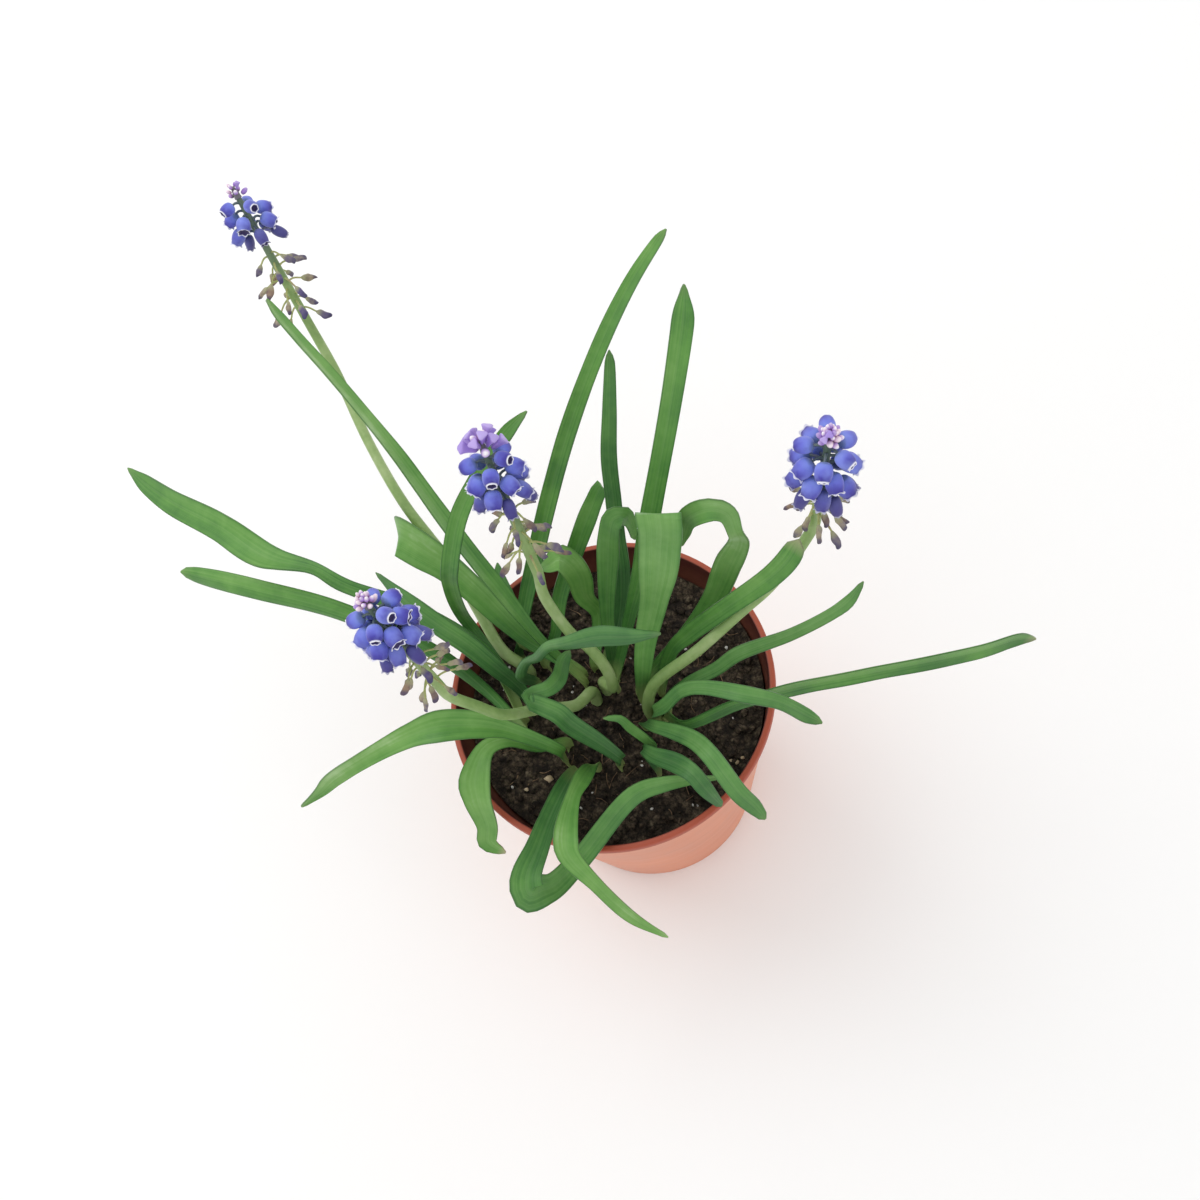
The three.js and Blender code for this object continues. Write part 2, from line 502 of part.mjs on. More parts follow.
addPiece('pot', buildPot(), finishes.pot);
addPiece('soil', buildSoil(), finishes.soil);
for (const [letter, [x, y]] of Object.entries(bulbs)) {
  addPiece(`bulb_${letter}`, turned(bulbProfile(), bulbShape.sides, x, y), finishes.bulb);
}
leaves.forEach((leaf, i) => {
  const usual = { ring: leafShape.rootRing, channel: 0.16 };
  addPiece(`leaf_${String(i + 1).padStart(2, '0')}`, buildLeaf({ ...usual, ...leaf }), finishes.leaf);
});
flowers.forEach((flower, i) => {
  const frame = headFrame(flower);
  const [firstBlue, firstBud] = flower.zones.map((part) => part * frame.length);
  const raceme = buildRaceme(flower, frame, firstBlue + clearance, firstBud);
  const random = randomSource(11 + i);
  addPiece(`scape_${i + 1}`, buildScape(flower), finishes.stalk);
  addPiece(`spent_${i + 1}`,
    geometryOf(buildSpent(flower, frame, 0, firstBlue, raceme, random)), finishes.spent);
  addPiece(`raceme_${i + 1}`, geometryOf(raceme), finishes.floret);
  addPiece(`crown_${i + 1}`,
    geometryOf(buildCrown(flower, frame, firstBud + clearance, raceme)), finishes.crown);
});

export default plant;
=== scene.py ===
import math
import random
import bpy
import bmesh
from mathutils import Matrix, Quaternion, Vector, noise


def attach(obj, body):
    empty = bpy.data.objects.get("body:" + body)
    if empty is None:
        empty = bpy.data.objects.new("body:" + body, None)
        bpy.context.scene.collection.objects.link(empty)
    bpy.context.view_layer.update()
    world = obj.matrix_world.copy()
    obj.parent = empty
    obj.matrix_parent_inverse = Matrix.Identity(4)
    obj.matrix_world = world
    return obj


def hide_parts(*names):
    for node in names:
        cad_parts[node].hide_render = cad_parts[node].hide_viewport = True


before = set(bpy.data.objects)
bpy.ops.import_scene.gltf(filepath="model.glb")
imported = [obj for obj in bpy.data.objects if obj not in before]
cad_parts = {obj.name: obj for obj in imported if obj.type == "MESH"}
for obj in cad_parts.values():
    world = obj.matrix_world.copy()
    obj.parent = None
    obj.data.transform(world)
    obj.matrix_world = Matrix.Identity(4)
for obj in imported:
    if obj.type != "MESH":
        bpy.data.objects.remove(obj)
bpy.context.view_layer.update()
mm = 0.001
noise.seed_set(7)  # without a seed of its own, the vector noise starts from the clock


# small helpers

def deselectAll():
    active = bpy.context.view_layer.objects.active
    if active and active.mode != "OBJECT":
        bpy.ops.object.mode_set(mode="OBJECT")
    bpy.ops.object.select_all(action="DESELECT")


def takeUp(*objects):
    deselectAll()
    for obj in objects:
        obj.select_set(True)
    bpy.context.view_layer.objects.active = objects[0]


def applyModifiers(obj):
    takeUp(obj)
    for modifier in list(obj.modifiers):
        bpy.ops.object.modifier_apply(modifier=modifier.name)


def smooth(obj, angle):
    takeUp(obj)
    bpy.ops.object.shade_smooth_by_angle(angle=math.radians(angle))


def joinAll(objects, name):
    takeUp(*objects)
    if len(objects) > 1:
        bpy.ops.object.join()
    obj = bpy.context.view_layer.objects.active
    obj.name = name
    obj.data.name = name
    return obj


def roundOff(obj):
    fine = obj.modifiers.new("round", "SUBSURF")
    fine.levels = fine.render_levels = 1
    applyModifiers(obj)


def finishPiece(obj, material, slotName, *nodes):
    obj.data.materials.clear()
    obj.data.materials.append(material)
    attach(obj, "root")
    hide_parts(*nodes)


def paintMix(obj, values):
    # one four-part attribute carries what the materials need to know about each point
    data = obj.data
    layer = data.attributes.get("mix") or data.attributes.new("mix", "FLOAT_COLOR", "POINT")
    flat = [part for value in values for part in value]
    layer.data.foreach_set("color", flat)


def paintOne(obj, name, values):
    layer = obj.data.attributes.new(name, "FLOAT", "POINT")
    layer.data.foreach_set("value", values)


def lerp(a, b, t):
    return a + (b - a) * t


def clamp(value, low=0.0, high=1.0):
    return max(low, min(high, value))


def smoothStep(value, low, high):
    t = clamp((value - low) / (high - low))
    return t * t * (3 - 2 * t)


def between(values, t):
    place = t * (len(values) - 1)
    low = min(int(place), len(values) - 2)
    return lerp(values[low], values[low + 1], place - low)


# a smooth way through points, evenly paced, and frames along it that turn as little as they can
class Way:
    def __init__(self, points):
        self.points = [Vector(point) for point in points]
        count = 400  # short steps that measure the length
        self.places = [i / count for i in range(count + 1)]
        spots = [self.spot(place) for place in self.places]
        self.lengths = [0.0]
        for a, b in zip(spots, spots[1:]):
            self.lengths.append(self.lengths[-1] + (b - a).length)
        self.length = self.lengths[-1]

    def spot(self, t):
        points = self.points
        place = (len(points) - 1) * t
        i = min(int(place), len(points) - 2)
        w = place - i
        p1, p2 = points[i], points[i + 1]
        p0 = points[i - 1] if i > 0 else p1 * 2 - p2
        p3 = points[i + 2] if i + 2 < len(points) else p2 * 2 - p1
        d0, d1, d2 = [max((b - a).length ** 0.5, 1e-4) for a, b in ((p0, p1), (p1, p2), (p2, p3))]
        t1 = ((p1 - p0) / d0 - (p2 - p0) / (d0 + d1) + (p2 - p1) / d1) * d1
        t2 = ((p2 - p1) / d1 - (p3 - p1) / (d1 + d2) + (p3 - p2) / d2) * d1
        return p1 + t1 * w + (p2 * 3 - p1 * 3 - t1 * 2 - t2) * w ** 2 + (p1 * 2 - p2 * 2 + t1 + t2) * w ** 3

    def pace(self, u):
        goal = u * self.length
        low, high = 0, len(self.lengths) - 1
        while high - low > 1:
            middle = (low + high) // 2
            if self.lengths[middle] <= goal:
                low = middle
            else:
                high = middle
        span = self.lengths[high] - self.lengths[low]
        return lerp(self.places[low], self.places[high], (goal - self.lengths[low]) / span if span else 0)

    def heading(self, u):
        t = self.pace(u)
        return (self.spot(min(1, t + 1e-4)) - self.spot(max(0, t - 1e-4))).normalized()

    def frames(self, upper, count):
        normal = Vector(upper)
        found = []
        fine = 3  # steps between the frames that are kept
        for step in range(count * fine + 1):
            u = step / (count * fine)
            tangent = self.heading(u)
            normal = (normal - tangent * normal.dot(tangent)).normalized()
            if step % fine == 0:
                found.append((u, self.spot(self.pace(u)), tangent, normal.copy(), tangent.cross(normal)))
        return found


# camera and light

cameraSet = {"lens": 45, "sensor": 36, "azimuth": 22, "elevation": 63.3, "roll": -24.3,
             "distance": 421, "target": (-2.8, 27.2, 80), "clip": (0.01, 20)}  # degrees and mm, clip in m


def makeCamera():
    a, e, r = [math.radians(cameraSet[k]) for k in ("azimuth", "elevation", "roll")]
    back = Vector((math.sin(a) * math.cos(e), -math.cos(a) * math.cos(e), math.sin(e)))
    right = Vector((math.cos(a), math.sin(a), 0))
    up = back.cross(right)
    right, up = right * math.cos(r) + up * math.sin(r), up * math.cos(r) - right * math.sin(r)
    data = bpy.data.cameras.new("camera")
    data.lens = cameraSet["lens"]
    data.sensor_width = cameraSet["sensor"]
    data.clip_start, data.clip_end = cameraSet["clip"]
    camera = bpy.data.objects.new("camera", data)
    bpy.context.collection.objects.link(camera)
    turn = Matrix((right, up, back)).transposed().to_4x4()
    place = (Vector(cameraSet["target"]) + back * cameraSet["distance"]) * mm
    camera.matrix_world = Matrix.Translation(place) @ turn
    bpy.context.scene.camera = camera


lightSet = {"sky": 0.88, "key": 2.9, "keyPlace": (-0.5, 0.35, 0.95), "keySize": 0.7,
            "fill": 0.6, "fillPlace": (0.7, -0.5, 0.8), "fillSize": 0.9, "aim": (0, 0.02, 0.08),
            "floorSize": 6, "floorColor": (0.96, 0.96, 0.955, 1)}  # metres


def makeLight(name, place, size, power):
    data = bpy.data.lights.new(name, "AREA")
    data.size = size
    data.energy = power
    lamp = bpy.data.objects.new(name, data)
    bpy.context.collection.objects.link(lamp)
    lamp.location = place
    aim = Vector(lightSet["aim"]) - Vector(place)
    lamp.rotation_mode = "QUATERNION"
    lamp.rotation_quaternion = aim.to_track_quat("-Z", "Y")


def makeStudio():
    makeLight("keyLight", lightSet["keyPlace"], lightSet["keySize"], lightSet["key"])
    makeLight("fillLight", lightSet["fillPlace"], lightSet["fillSize"], lightSet["fill"])
    world = bpy.data.worlds.new("studio")
    bpy.context.scene.world = world
    world.use_nodes = True
    world.node_tree.nodes["Background"].inputs["Color"].default_value = (1, 1, 1, 1)
    world.node_tree.nodes["Background"].inputs["Strength"].default_value = lightSet["sky"]
    deselectAll()
    bpy.ops.mesh.primitive_plane_add(size=lightSet["floorSize"], location=(0, 0, 0))
    floor = bpy.context.object
    floor.name = "floor"
    paper = bpy.data.materials.new("paleFloor")
    paper.use_nodes = True
    shader = paper.node_tree.nodes["Principled BSDF"]
    shader.inputs["Base Color"].default_value = lightSet["floorColor"]
    shader.inputs["Roughness"].default_value = 0.8
    floor.data.materials.append(paper)
    bpy.context.scene.view_settings.view_transform = "Standard"


makeCamera()
makeStudio()
print("camera and studio made")


# material helpers

class Surface:
    # a new material with its shader, and short ways to add and wire nodes
    def __init__(self, name, roughness=0.5):
        self.material = bpy.data.materials.new(name)
        self.material.use_nodes = True
        self.tree = self.material.node_tree
        self.shader = self.tree.nodes["Principled BSDF"]
        self.shader.inputs["Roughness"].default_value = roughness
        self.object = self.add("ShaderNodeTexCoord").outputs["Object"]

    def add(self, kind, values=None, **settings):
        node = self.tree.nodes.new(kind)
        for key, value in settings.items():
            setattr(node, key, value)
        for key, value in (values or {}).items():
            self.put(node.inputs[key], value)
        return node

    def put(self, socket, value):
        # a link where the value is another node's output, or else a fixed value
        if isinstance(value, bpy.types.NodeSocket):
            self.tree.links.new(value, socket)
        else:
            socket.default_value = value

    def wire(self, output, key):
        self.tree.links.new(output, self.shader.inputs[key])

    def noise(self, vector, scale, detail=3, rough=0.6):
        node = self.add("ShaderNodeTexNoise", {"Vector": vector, "Scale": scale, "Detail": detail,
                                               "Roughness": rough})
        return node.outputs["Fac"]

    def stretch(self, vector, scale):
        return self.add("ShaderNodeMapping", {"Vector": vector, "Scale": scale}).outputs["Vector"]

    def range(self, value, low, high, to0=0.0, to1=1.0):
        return self.add("ShaderNodeMapRange", {"Value": value, "From Min": low, "From Max": high,
                                               "To Min": to0, "To Max": to1}).outputs["Result"]

    def math(self, operation, a, b=0.0):
        return self.add("ShaderNodeMath", {0: a, 1: b}, operation=operation).outputs[0]

    def mix(self, factor, a, b, blend="MIX"):
        node = self.add("ShaderNodeMix", data_type="RGBA", blend_type=blend)
        self.put(node.inputs[0], factor)
        for index, value in ((6, a), (7, b)):
            self.put(node.inputs[index], (*value, 1) if isinstance(value, tuple) else value)
        return node.outputs[2]

    def ramp(self, value, stops):
        node = self.add("ShaderNodeValToRGB", {"Fac": value})
        items = node.color_ramp.elements
        while len(items) < len(stops):
            items.new(0.5)
        for item, (place, color) in zip(items, stops):
            item.position = place
            item.color = (*color, 1)
        return node.outputs["Color"]

    def points(self):
        # the red, green, blue and alpha parts of the point attribute
        source = self.add("ShaderNodeAttribute", attribute_name="mix")
        parts = self.add("ShaderNodeSeparateColor", {"Color": source.outputs["Color"]})
        return [*[parts.outputs[i] for i in range(3)], source.outputs["Alpha"]]

    def value(self, name):
        return self.add("ShaderNodeAttribute", attribute_name=name).outputs["Fac"]

    def bump(self, height, strength, distance):
        node = self.add("ShaderNodeBump", {"Height": height, "Strength": strength,
                                           "Distance": distance * mm})
        self.wire(node.outputs["Normal"], "Normal")


def makeMottle():
    # patches that run from a dark colour over a middle one to a light one, for several materials
    group = bpy.data.node_groups.new("mottle", "ShaderNodeTree")
    group.interface.new_socket("Vector", in_out="INPUT", socket_type="NodeSocketVector")
    for name in ("Scale", "Detail", "Rough", "Low", "Middle", "High"):
        group.interface.new_socket(name, in_out="INPUT", socket_type="NodeSocketFloat")
    for name in ("Dark", "Between", "Light"):
        group.interface.new_socket(name, in_out="INPUT", socket_type="NodeSocketColor")
    group.interface.new_socket("Color", in_out="OUTPUT", socket_type="NodeSocketColor")
    group.interface.new_socket("Height", in_out="OUTPUT", socket_type="NodeSocketFloat")
    given = group.nodes.new("NodeGroupInput").outputs
    result = group.nodes.new("NodeGroupOutput").inputs
    patches = group.nodes.new("ShaderNodeTexNoise")
    for key, source in (("Vector", "Vector"), ("Scale", "Scale"), ("Detail", "Detail"),
                        ("Roughness", "Rough")):
        group.links.new(given[source], patches.inputs[key])
    color = given["Dark"]
    for low, high, tint in (("Low", "Middle", "Between"), ("Middle", "High", "Light")):
        step = group.nodes.new("ShaderNodeMapRange")
        group.links.new(patches.outputs["Fac"], step.inputs["Value"])
        group.links.new(given[low], step.inputs["From Min"])
        group.links.new(given[high], step.inputs["From Max"])
        blend = group.nodes.new("ShaderNodeMix")
        blend.data_type = "RGBA"
        group.links.new(step.outputs["Result"], blend.inputs[0])
        group.links.new(color, blend.inputs[6])
        group.links.new(given[tint], blend.inputs[7])
        color = blend.outputs[2]
    group.links.new(color, result["Color"])
    group.links.new(patches.outputs["Fac"], result["Height"])
    return group


mottle = makeMottle()


def mottledSurface(name, roughness, pattern, places, colors, bump=0.0):
    # pattern is the patches' scale, detail and roughness; places say where the three colours stand
    s = Surface(name, roughness)
    values = dict(zip(("Vector", "Scale", "Detail", "Rough", "Low", "Middle", "High"),
                      (s.object, *pattern, *places)))
    values.update(zip(("Dark", "Between", "Light"), [(*color, 1) for color in colors]))
    node = s.add("ShaderNodeGroup", node_tree=mottle)
    for key, value in values.items():
        s.put(node.inputs[key], value)
    s.wire(node.outputs["Color"], "Base Color")
    if bump:
        s.bump(node.outputs["Height"], bump, 0.2)
    return s.material


# bulbs' places, as in the solids

bulbPlaces = {"a": (10, -4), "b": (-4, 4), "c": (-8, -16), "d": (7, -21), "e": (-24, 9), "f": (-20, -7)}
bulbTop = 71.5
clearance = 0.3  # air between a bulb and what grows from it

# leaves: the bulb, where round it the leaf starts and how it rolls from root to tip, both in degrees,
# then the midrib and the blade's width there

leafRows = [
    {"bulb": "b", "at": 175, "ring": 3.6, "roll": (0, 5, 10, 15),
     "spine": [(-16, 9, 97, 3.5), (-24, 18, 108, 6.5), (-32, 28, 116, 7), (-42, 42, 127, 6.5),
               (-54, 58, 139, 5.5), (-70, 77, 148, 5), (-75.5, 84, 150, 4), (-79.5, 90, 150, 1)]},
    {"bulb": "b", "at": 148, "roll": (5, -35, -40, -42, -45),
     "spine": [(-22, 14, 86, 4), (-28, 19, 92, 6), (-34, 25, 96, 7.5), (-42, 32, 100, 9),
               (-48, 36, 102, 10.5), (-55, 41, 102, 11), (-57, 43, 98, 10.5), (-59, 46, 90, 7),
               (-60, 48, 82, 2.5)]},
    {"bulb": "e", "at": 200, "roll": (20, -60, -95, -105, -125, -130, -140, -140),
     "spine": [(-30, 8, 84, 2.5), (-36, 16, 90, 3), (-37, 17, 101, 3.5), (-36, 18, 114, 4),
               (-33, 18, 126, 4.5), (-28, 26, 137, 4.5), (-22, 32, 144, 4), (-11, 38, 156, 3.5),
               (-6, 42, 158, 1)]},
    {"bulb": "f", "at": 160, "roll": (0, -30, -15, 5, 0, -45, -50, -35),
     "spine": [(-30, 6, 94, 3.5), (-44, 14, 106, 4), (-66, 21.5, 114, 4.5), (-74, 26.5, 115, 4),
               (-88, 31.5, 114, 7.5), (-104, 43.5, 112, 8), (-122, 55.5, 108, 7), (-132, 63.5, 106, 5),
               (-139, 70, 105, 1)]},
    {"bulb": "f", "at": 245, "roll": (0, 65, 50, 50, 50),
     "spine": [(-33, 0, 83, 3), (-46, 8, 98, 4), (-70, 18, 106, 5), (-93, 26, 106, 5.5),
               (-106, 31, 104, 5.5), (-115, 35, 101, 4.5), (-120, 37, 100, 2.5)]},
    {"bulb": "f", "at": 112, "roll": (0, 15, 25, 25),
     "spine": [(-24, 0, 87, 3.5), (-28, 2, 97, 4.5), (-33, 5, 106, 5), (-39, 8, 113, 5),
               (-46, 13, 117, 4.5), (-56, 23, 117, 1)]},
    {"bulb": "c", "at": -160, "roll": (10, -50, -45, -30, -40, -60, -90, -95),
     "spine": [(-12, -20, 91, 3), (-23, -18, 103, 4.5), (-28, -18, 107, 6.5), (-38, -19, 111, 8),
               (-46, -20.5, 110, 6), (-62, -24, 102, 4.5), (-72, -26, 95, 5), (-77, -27.5, 90, 3.5),
               (-84, -30, 85, 1)]},
    {"bulb": "c", "at": 150, "roll": (0, 15, 30, 75, 70, 65, 50),
     "spine": [(-19, -16, 82, 2.5), (-26, -16, 89, 3.5), (-31, -19, 92, 5), (-33.5, -28, 93, 8.5),
               (-33.5, -32, 90, 7.5), (-33, -37, 81, 5.5), (-34, -40, 76, 5), (-30, -42, 72.5, 1.5)]},
    {"bulb": "c", "at": -105,
     "roll": (0, -30, -20, -20, -18, -12, -82, -90, -92, -94, -96, -98, -98),
     "spine": [(-11, -29, 87, 4.5), (-14, -39, 92, 5), (-16, -48, 96, 6), (-18, -55, 98, 7.5),
               (-18, -58.5, 98, 8.5), (-17.5, -59.5, 96, 8.5), (-15.5, -57.5, 92, 8),
               (-13, -55.5, 88.5, 6.5), (-7, -47.5, 84, 5.5), (7, -31.5, 84, 5), (15.5, -29.5, 86, 4),
               (30, -28, 84, 1)]},
    {"bulb": "c", "at": -50, "roll": (0, -65, -90, -65, -55, -65, -70),
     "spine": [(-5, -29, 93, 4.5), (-6, -36, 100, 4), (-6.5, -48.5, 106, 6), (-6, -52, 105, 5.5),
               (-0.5, -58, 98, 3.5), (6.5, -64, 87, 3), (14.5, -67.5, 78, 1)]},
    {"bulb": "a", "at": -102, "roll": (0, 50, 105, 65, 65, 60),
     "spine": [(14, -16, 93, 3), (20, -20, 99, 4), (26, -25, 105, 4.5), (30, -30, 108, 4.5),
               (36, -38, 102, 4.5), (39, -40, 97, 4), (41.5, -42, 92, 2)]},
    {"bulb": "d", "at": 60, "roll": (0, 15, 90, 90),
     "spine": [(12, -18, 84, 2.5), (8, -17, 96, 2.5), (6, -16, 100, 2), (2, -16, 101, 1)]},
    {"bulb": "d", "at": -10, "roll": (10, -20, -15, -30, -20),
     "spine": [(10, -20, 87, 2.5), (14, -24, 93, 4), (20, -28, 98, 5), (24.5, -32, 101, 4.5),
               (27.5, -35.5, 98, 4), (30.5, -37.5, 90, 2)]},
    {"bulb": "a", "at": 5, "roll": (20, 50, 15, 15, 15, 10),
     "spine": [(24, -6, 97, 3), (32, -6, 105, 3.5), (38, -5, 111, 3.5), (52, -4.5, 120, 3),
               (62, -0.5, 121.5, 3), (66, 2, 122, 3), (70, 8, 120, 1)]},
    {"bulb": "a", "at": -50, "ring": 3.8, "roll": (0, 30, 80, 55, 40, 45, 50),
     "spine": [(14, -12, 93, 3), (18, -14, 102, 3.5), (24, -14, 112, 3.5), (30, -16, 118, 3.5),
               (40, -20, 122, 4), (48, -21, 118, 3.5), (54, -22, 110, 3.5), (57.5, -23, 107, 1.5)]},
    {"bulb": "a", "at": -30, "roll": (0, 80, 100, 95, 95, 90),
     "spine": [(22, -15, 90, 3), (36, -14, 100, 4.5), (52, -14, 109, 6), (68, -13, 112, 5.5),
               (96, -7.5, 108, 6), (106, -3.5, 104, 4.5), (111, -2, 100, 1)]},
    {"bulb": "e", "at": 55, "roll": (0, 50, 45, 40, 40),
     "spine": [(-24, 14, 84, 3), (-22, 22, 90, 4), (-17, 30, 101, 4.5), (-11.5, 36, 114, 4.5),
               (0, 48, 138, 4.5), (12, 60, 157, 4), (20.5, 71.5, 164, 3.5), (27.5, 81.5, 166, 2.5),
               (29.5, 84.5, 166, 1)]},
    {"bulb": "b", "at": -12, "roll": (15, 95, 100, 105, 110, 105),
     "spine": [(9, 8, 104, 3), (16, 13, 125, 4.5), (20.5, 19, 140, 5), (28.5, 36, 160, 5),
               (32.5, 53, 166, 5.5), (33.5, 58, 168, 5), (34, 66, 168, 1)]},
    {"bulb": "a", "at": 120, "ring": 2.2, "channel": 0.05, "roll": (0, -33, -39, -39, -34, -35, -36),
     "spine": [(12, -2, 98, 4.5), (15, 0, 112, 5.5), (20, 2, 131, 7), (23, 3, 144, 9),
               (25, 5, 154, 9.5), (26, 6, 160, 10), (26, 8, 163, 10.5), (25.5, 10.5, 159, 10),
               (24, 11, 149, 9.5), (22.5, 10.5, 139, 7.5), (21, 9, 131, 4)]},
    {"bulb": "b", "at": 98, "roll": (0, -13, 0, -12, 4, 55, 53),
     "spine": [(-2, 20, 86, 4), (-4, 21, 96, 5.5), (-3.5, 22, 106, 6.5), (-4.5, 22.5, 113, 7),
               (-6.5, 22.5, 117.5, 7), (-10, 22.5, 114, 4), (-14, 24, 109, 1)]},
    {"bulb": "b", "at": 26, "roll": (0, 72, 69, 64, 62, 25, 62),
     "spine": [(3, 12, 100, 3.5), (7.5, 18, 124, 5.5), (9.5, 20, 133, 5.5), (11.5, 21.5, 138, 5.5),
               (14, 21.5, 139, 5), (15, 22, 135, 3), (15, 21, 127, 1.5)]},
    {"bulb": "e", "at": 18, "roll": (40, 80, 63, 63, 62, 60),
     "spine": [(-14, 16, 86, 3), (-11, 22, 95, 4), (-6, 27, 105, 4.5), (0.5, 33, 117, 5),
               (3, 36, 120.5, 4.5), (5.5, 39.5, 122.5, 4), (6, 40, 119, 3), (6, 40, 112, 1)]},
    {"bulb": "b", "at": 62, "roll": (0, 20, 35, 35, 35),
     "spine": [(4, 17, 88, 3), (7, 24, 101, 4.5), (8, 30, 113, 4), (9, 34, 124, 4), (10, 40, 136, 4),
               (12, 48, 146, 3.5), (13, 58, 151, 2.5), (13, 61, 152, 1)]},
    {"bulb": "a", "at": 112, "roll": (20, -50, -55, -45, -50, -10, 30, 0),
     "spine": [(24, 8, 98, 3.5), (31.5, 10, 110, 5.5), (38.5, 10, 132, 6.5), (42, 10, 143, 5),
               (42, 8, 152, 3.5), (41, 9, 159, 4.5), (38, 9, 162, 5.5), (32, 10, 157, 5),
               (30, 10, 151, 4), (28, 10, 143, 1.5)]},
    {"bulb": "a", "at": 46, "roll": (0, 30, 0, -5, -5, 15),
     "spine": [(20, 2, 100, 3.5), (26, 2, 110, 4.5), (36, 0, 127, 4.5), (50, -2, 149, 5),
               (54.5, -1.5, 157, 5), (56.5, 0.5, 160, 4)]},
    {"bulb": "e", "at": -58, "roll": (0, 40, -15, -75, -80, -95, -100),
     "spine": [(-20, -2, 100, 3), (-17, -2, 108, 2.5), (-12, -4, 116, 2.5), (-8, -4, 122, 2.5),
               (-2, -6, 128, 3.5), (7, -7, 133, 5), (14, -8, 134, 4), (22, -8, 134, 1)]},
    {"bulb": "d", "at": 165, "roll": (0, -10, -20, -20, -30, 35, 0, 0),
     "spine": [(4, -22, 86, 3), (0, -20, 93, 4), (-6, -18, 104, 5), (-8, -17, 110, 5),
               (-12, -16, 114, 4.5), (-14, -16, 117, 4), (-14, -14, 116, 3), (-10, -12, 114, 4),
               (-8, -8, 110, 4.5), (-8, 0, 103, 3.5), (-7, 4, 100, 1.5)]},
    {"bulb": "e", "at": 118, "roll": (0, -10, -25, -15),
     "spine": [(-25, 16, 82, 2.5), (-28, 26, 86, 5), (-30, 32, 87, 4), (-31, 38, 87, 1)]},
]

leafSet = {"across": 10, "pace": 1.5,  # faces over the width, and mm between rows of them
           "thick": 0.78, "rim": 0.42,  # the margin's thickness as a share of the middle's
           "channel": 0.16, "ripple": 0.35, "waver": 0.035,
           "rootWidth": 2.4, "sheathWidth": 2.7, "sheathHeight": 6, "rootRing": 5.1}

# how light a leaf is, dark 0 to pale 1: two groups, and the rest in between; foot is painted shade down in
# the clump, arch is painted light where the blade arches over, and tilt is painted light and shade on the two
# halves of a tilted blade
leafTone = {"pale": 0.68, "middle": 0.5, "dark": 0.34, "foot": -0.2, "archLight": 0.08, "tilt": 0.13}
paleLeaves = (1, 2, 7, 8, 10, 19, 20, 24)
darkLeaves = (6, 13, 23, 26, 27, 28)
# leaves with more of the grey-blue wax, and those with a dry tip
leafWax = {6: 0.5, 9: 0.45, 11: 0.7, 12: 0.4, 13: 0.8, 14: 0.7, 15: 0.6, 19: 0.4, 21: 0.4, 23: 0.6,
           24: 0.35, 26: 0.9, 27: 0.5}
leafDry = {8: 0.8, 16: 0.5, 19: 0.3, 25: 0.5}
leastWax = leastDry = 0.1


def leafHalf(widths, place):
    # eased between the given widths, so the margins run without corners
    step = clamp(place) * (len(widths) - 1)
    i = min(int(step), len(widths) - 2)
    w0, w1, w2, w3 = [widths[clamp(i + k, 0, len(widths) - 1)] for k in (-1, 0, 1, 2)]
    w = step - i
    bend = (w2 - w0) * 0.5 * w + (3 * (w2 - w1) - (w2 - w0) - (w3 - w1) * 0.5) * w * w
    bend += (2 * (w1 - w2) + (w2 - w0) * 0.5 + (w3 - w1) * 0.5) * w ** 3
    return max(0.3, w1 + bend) / 2


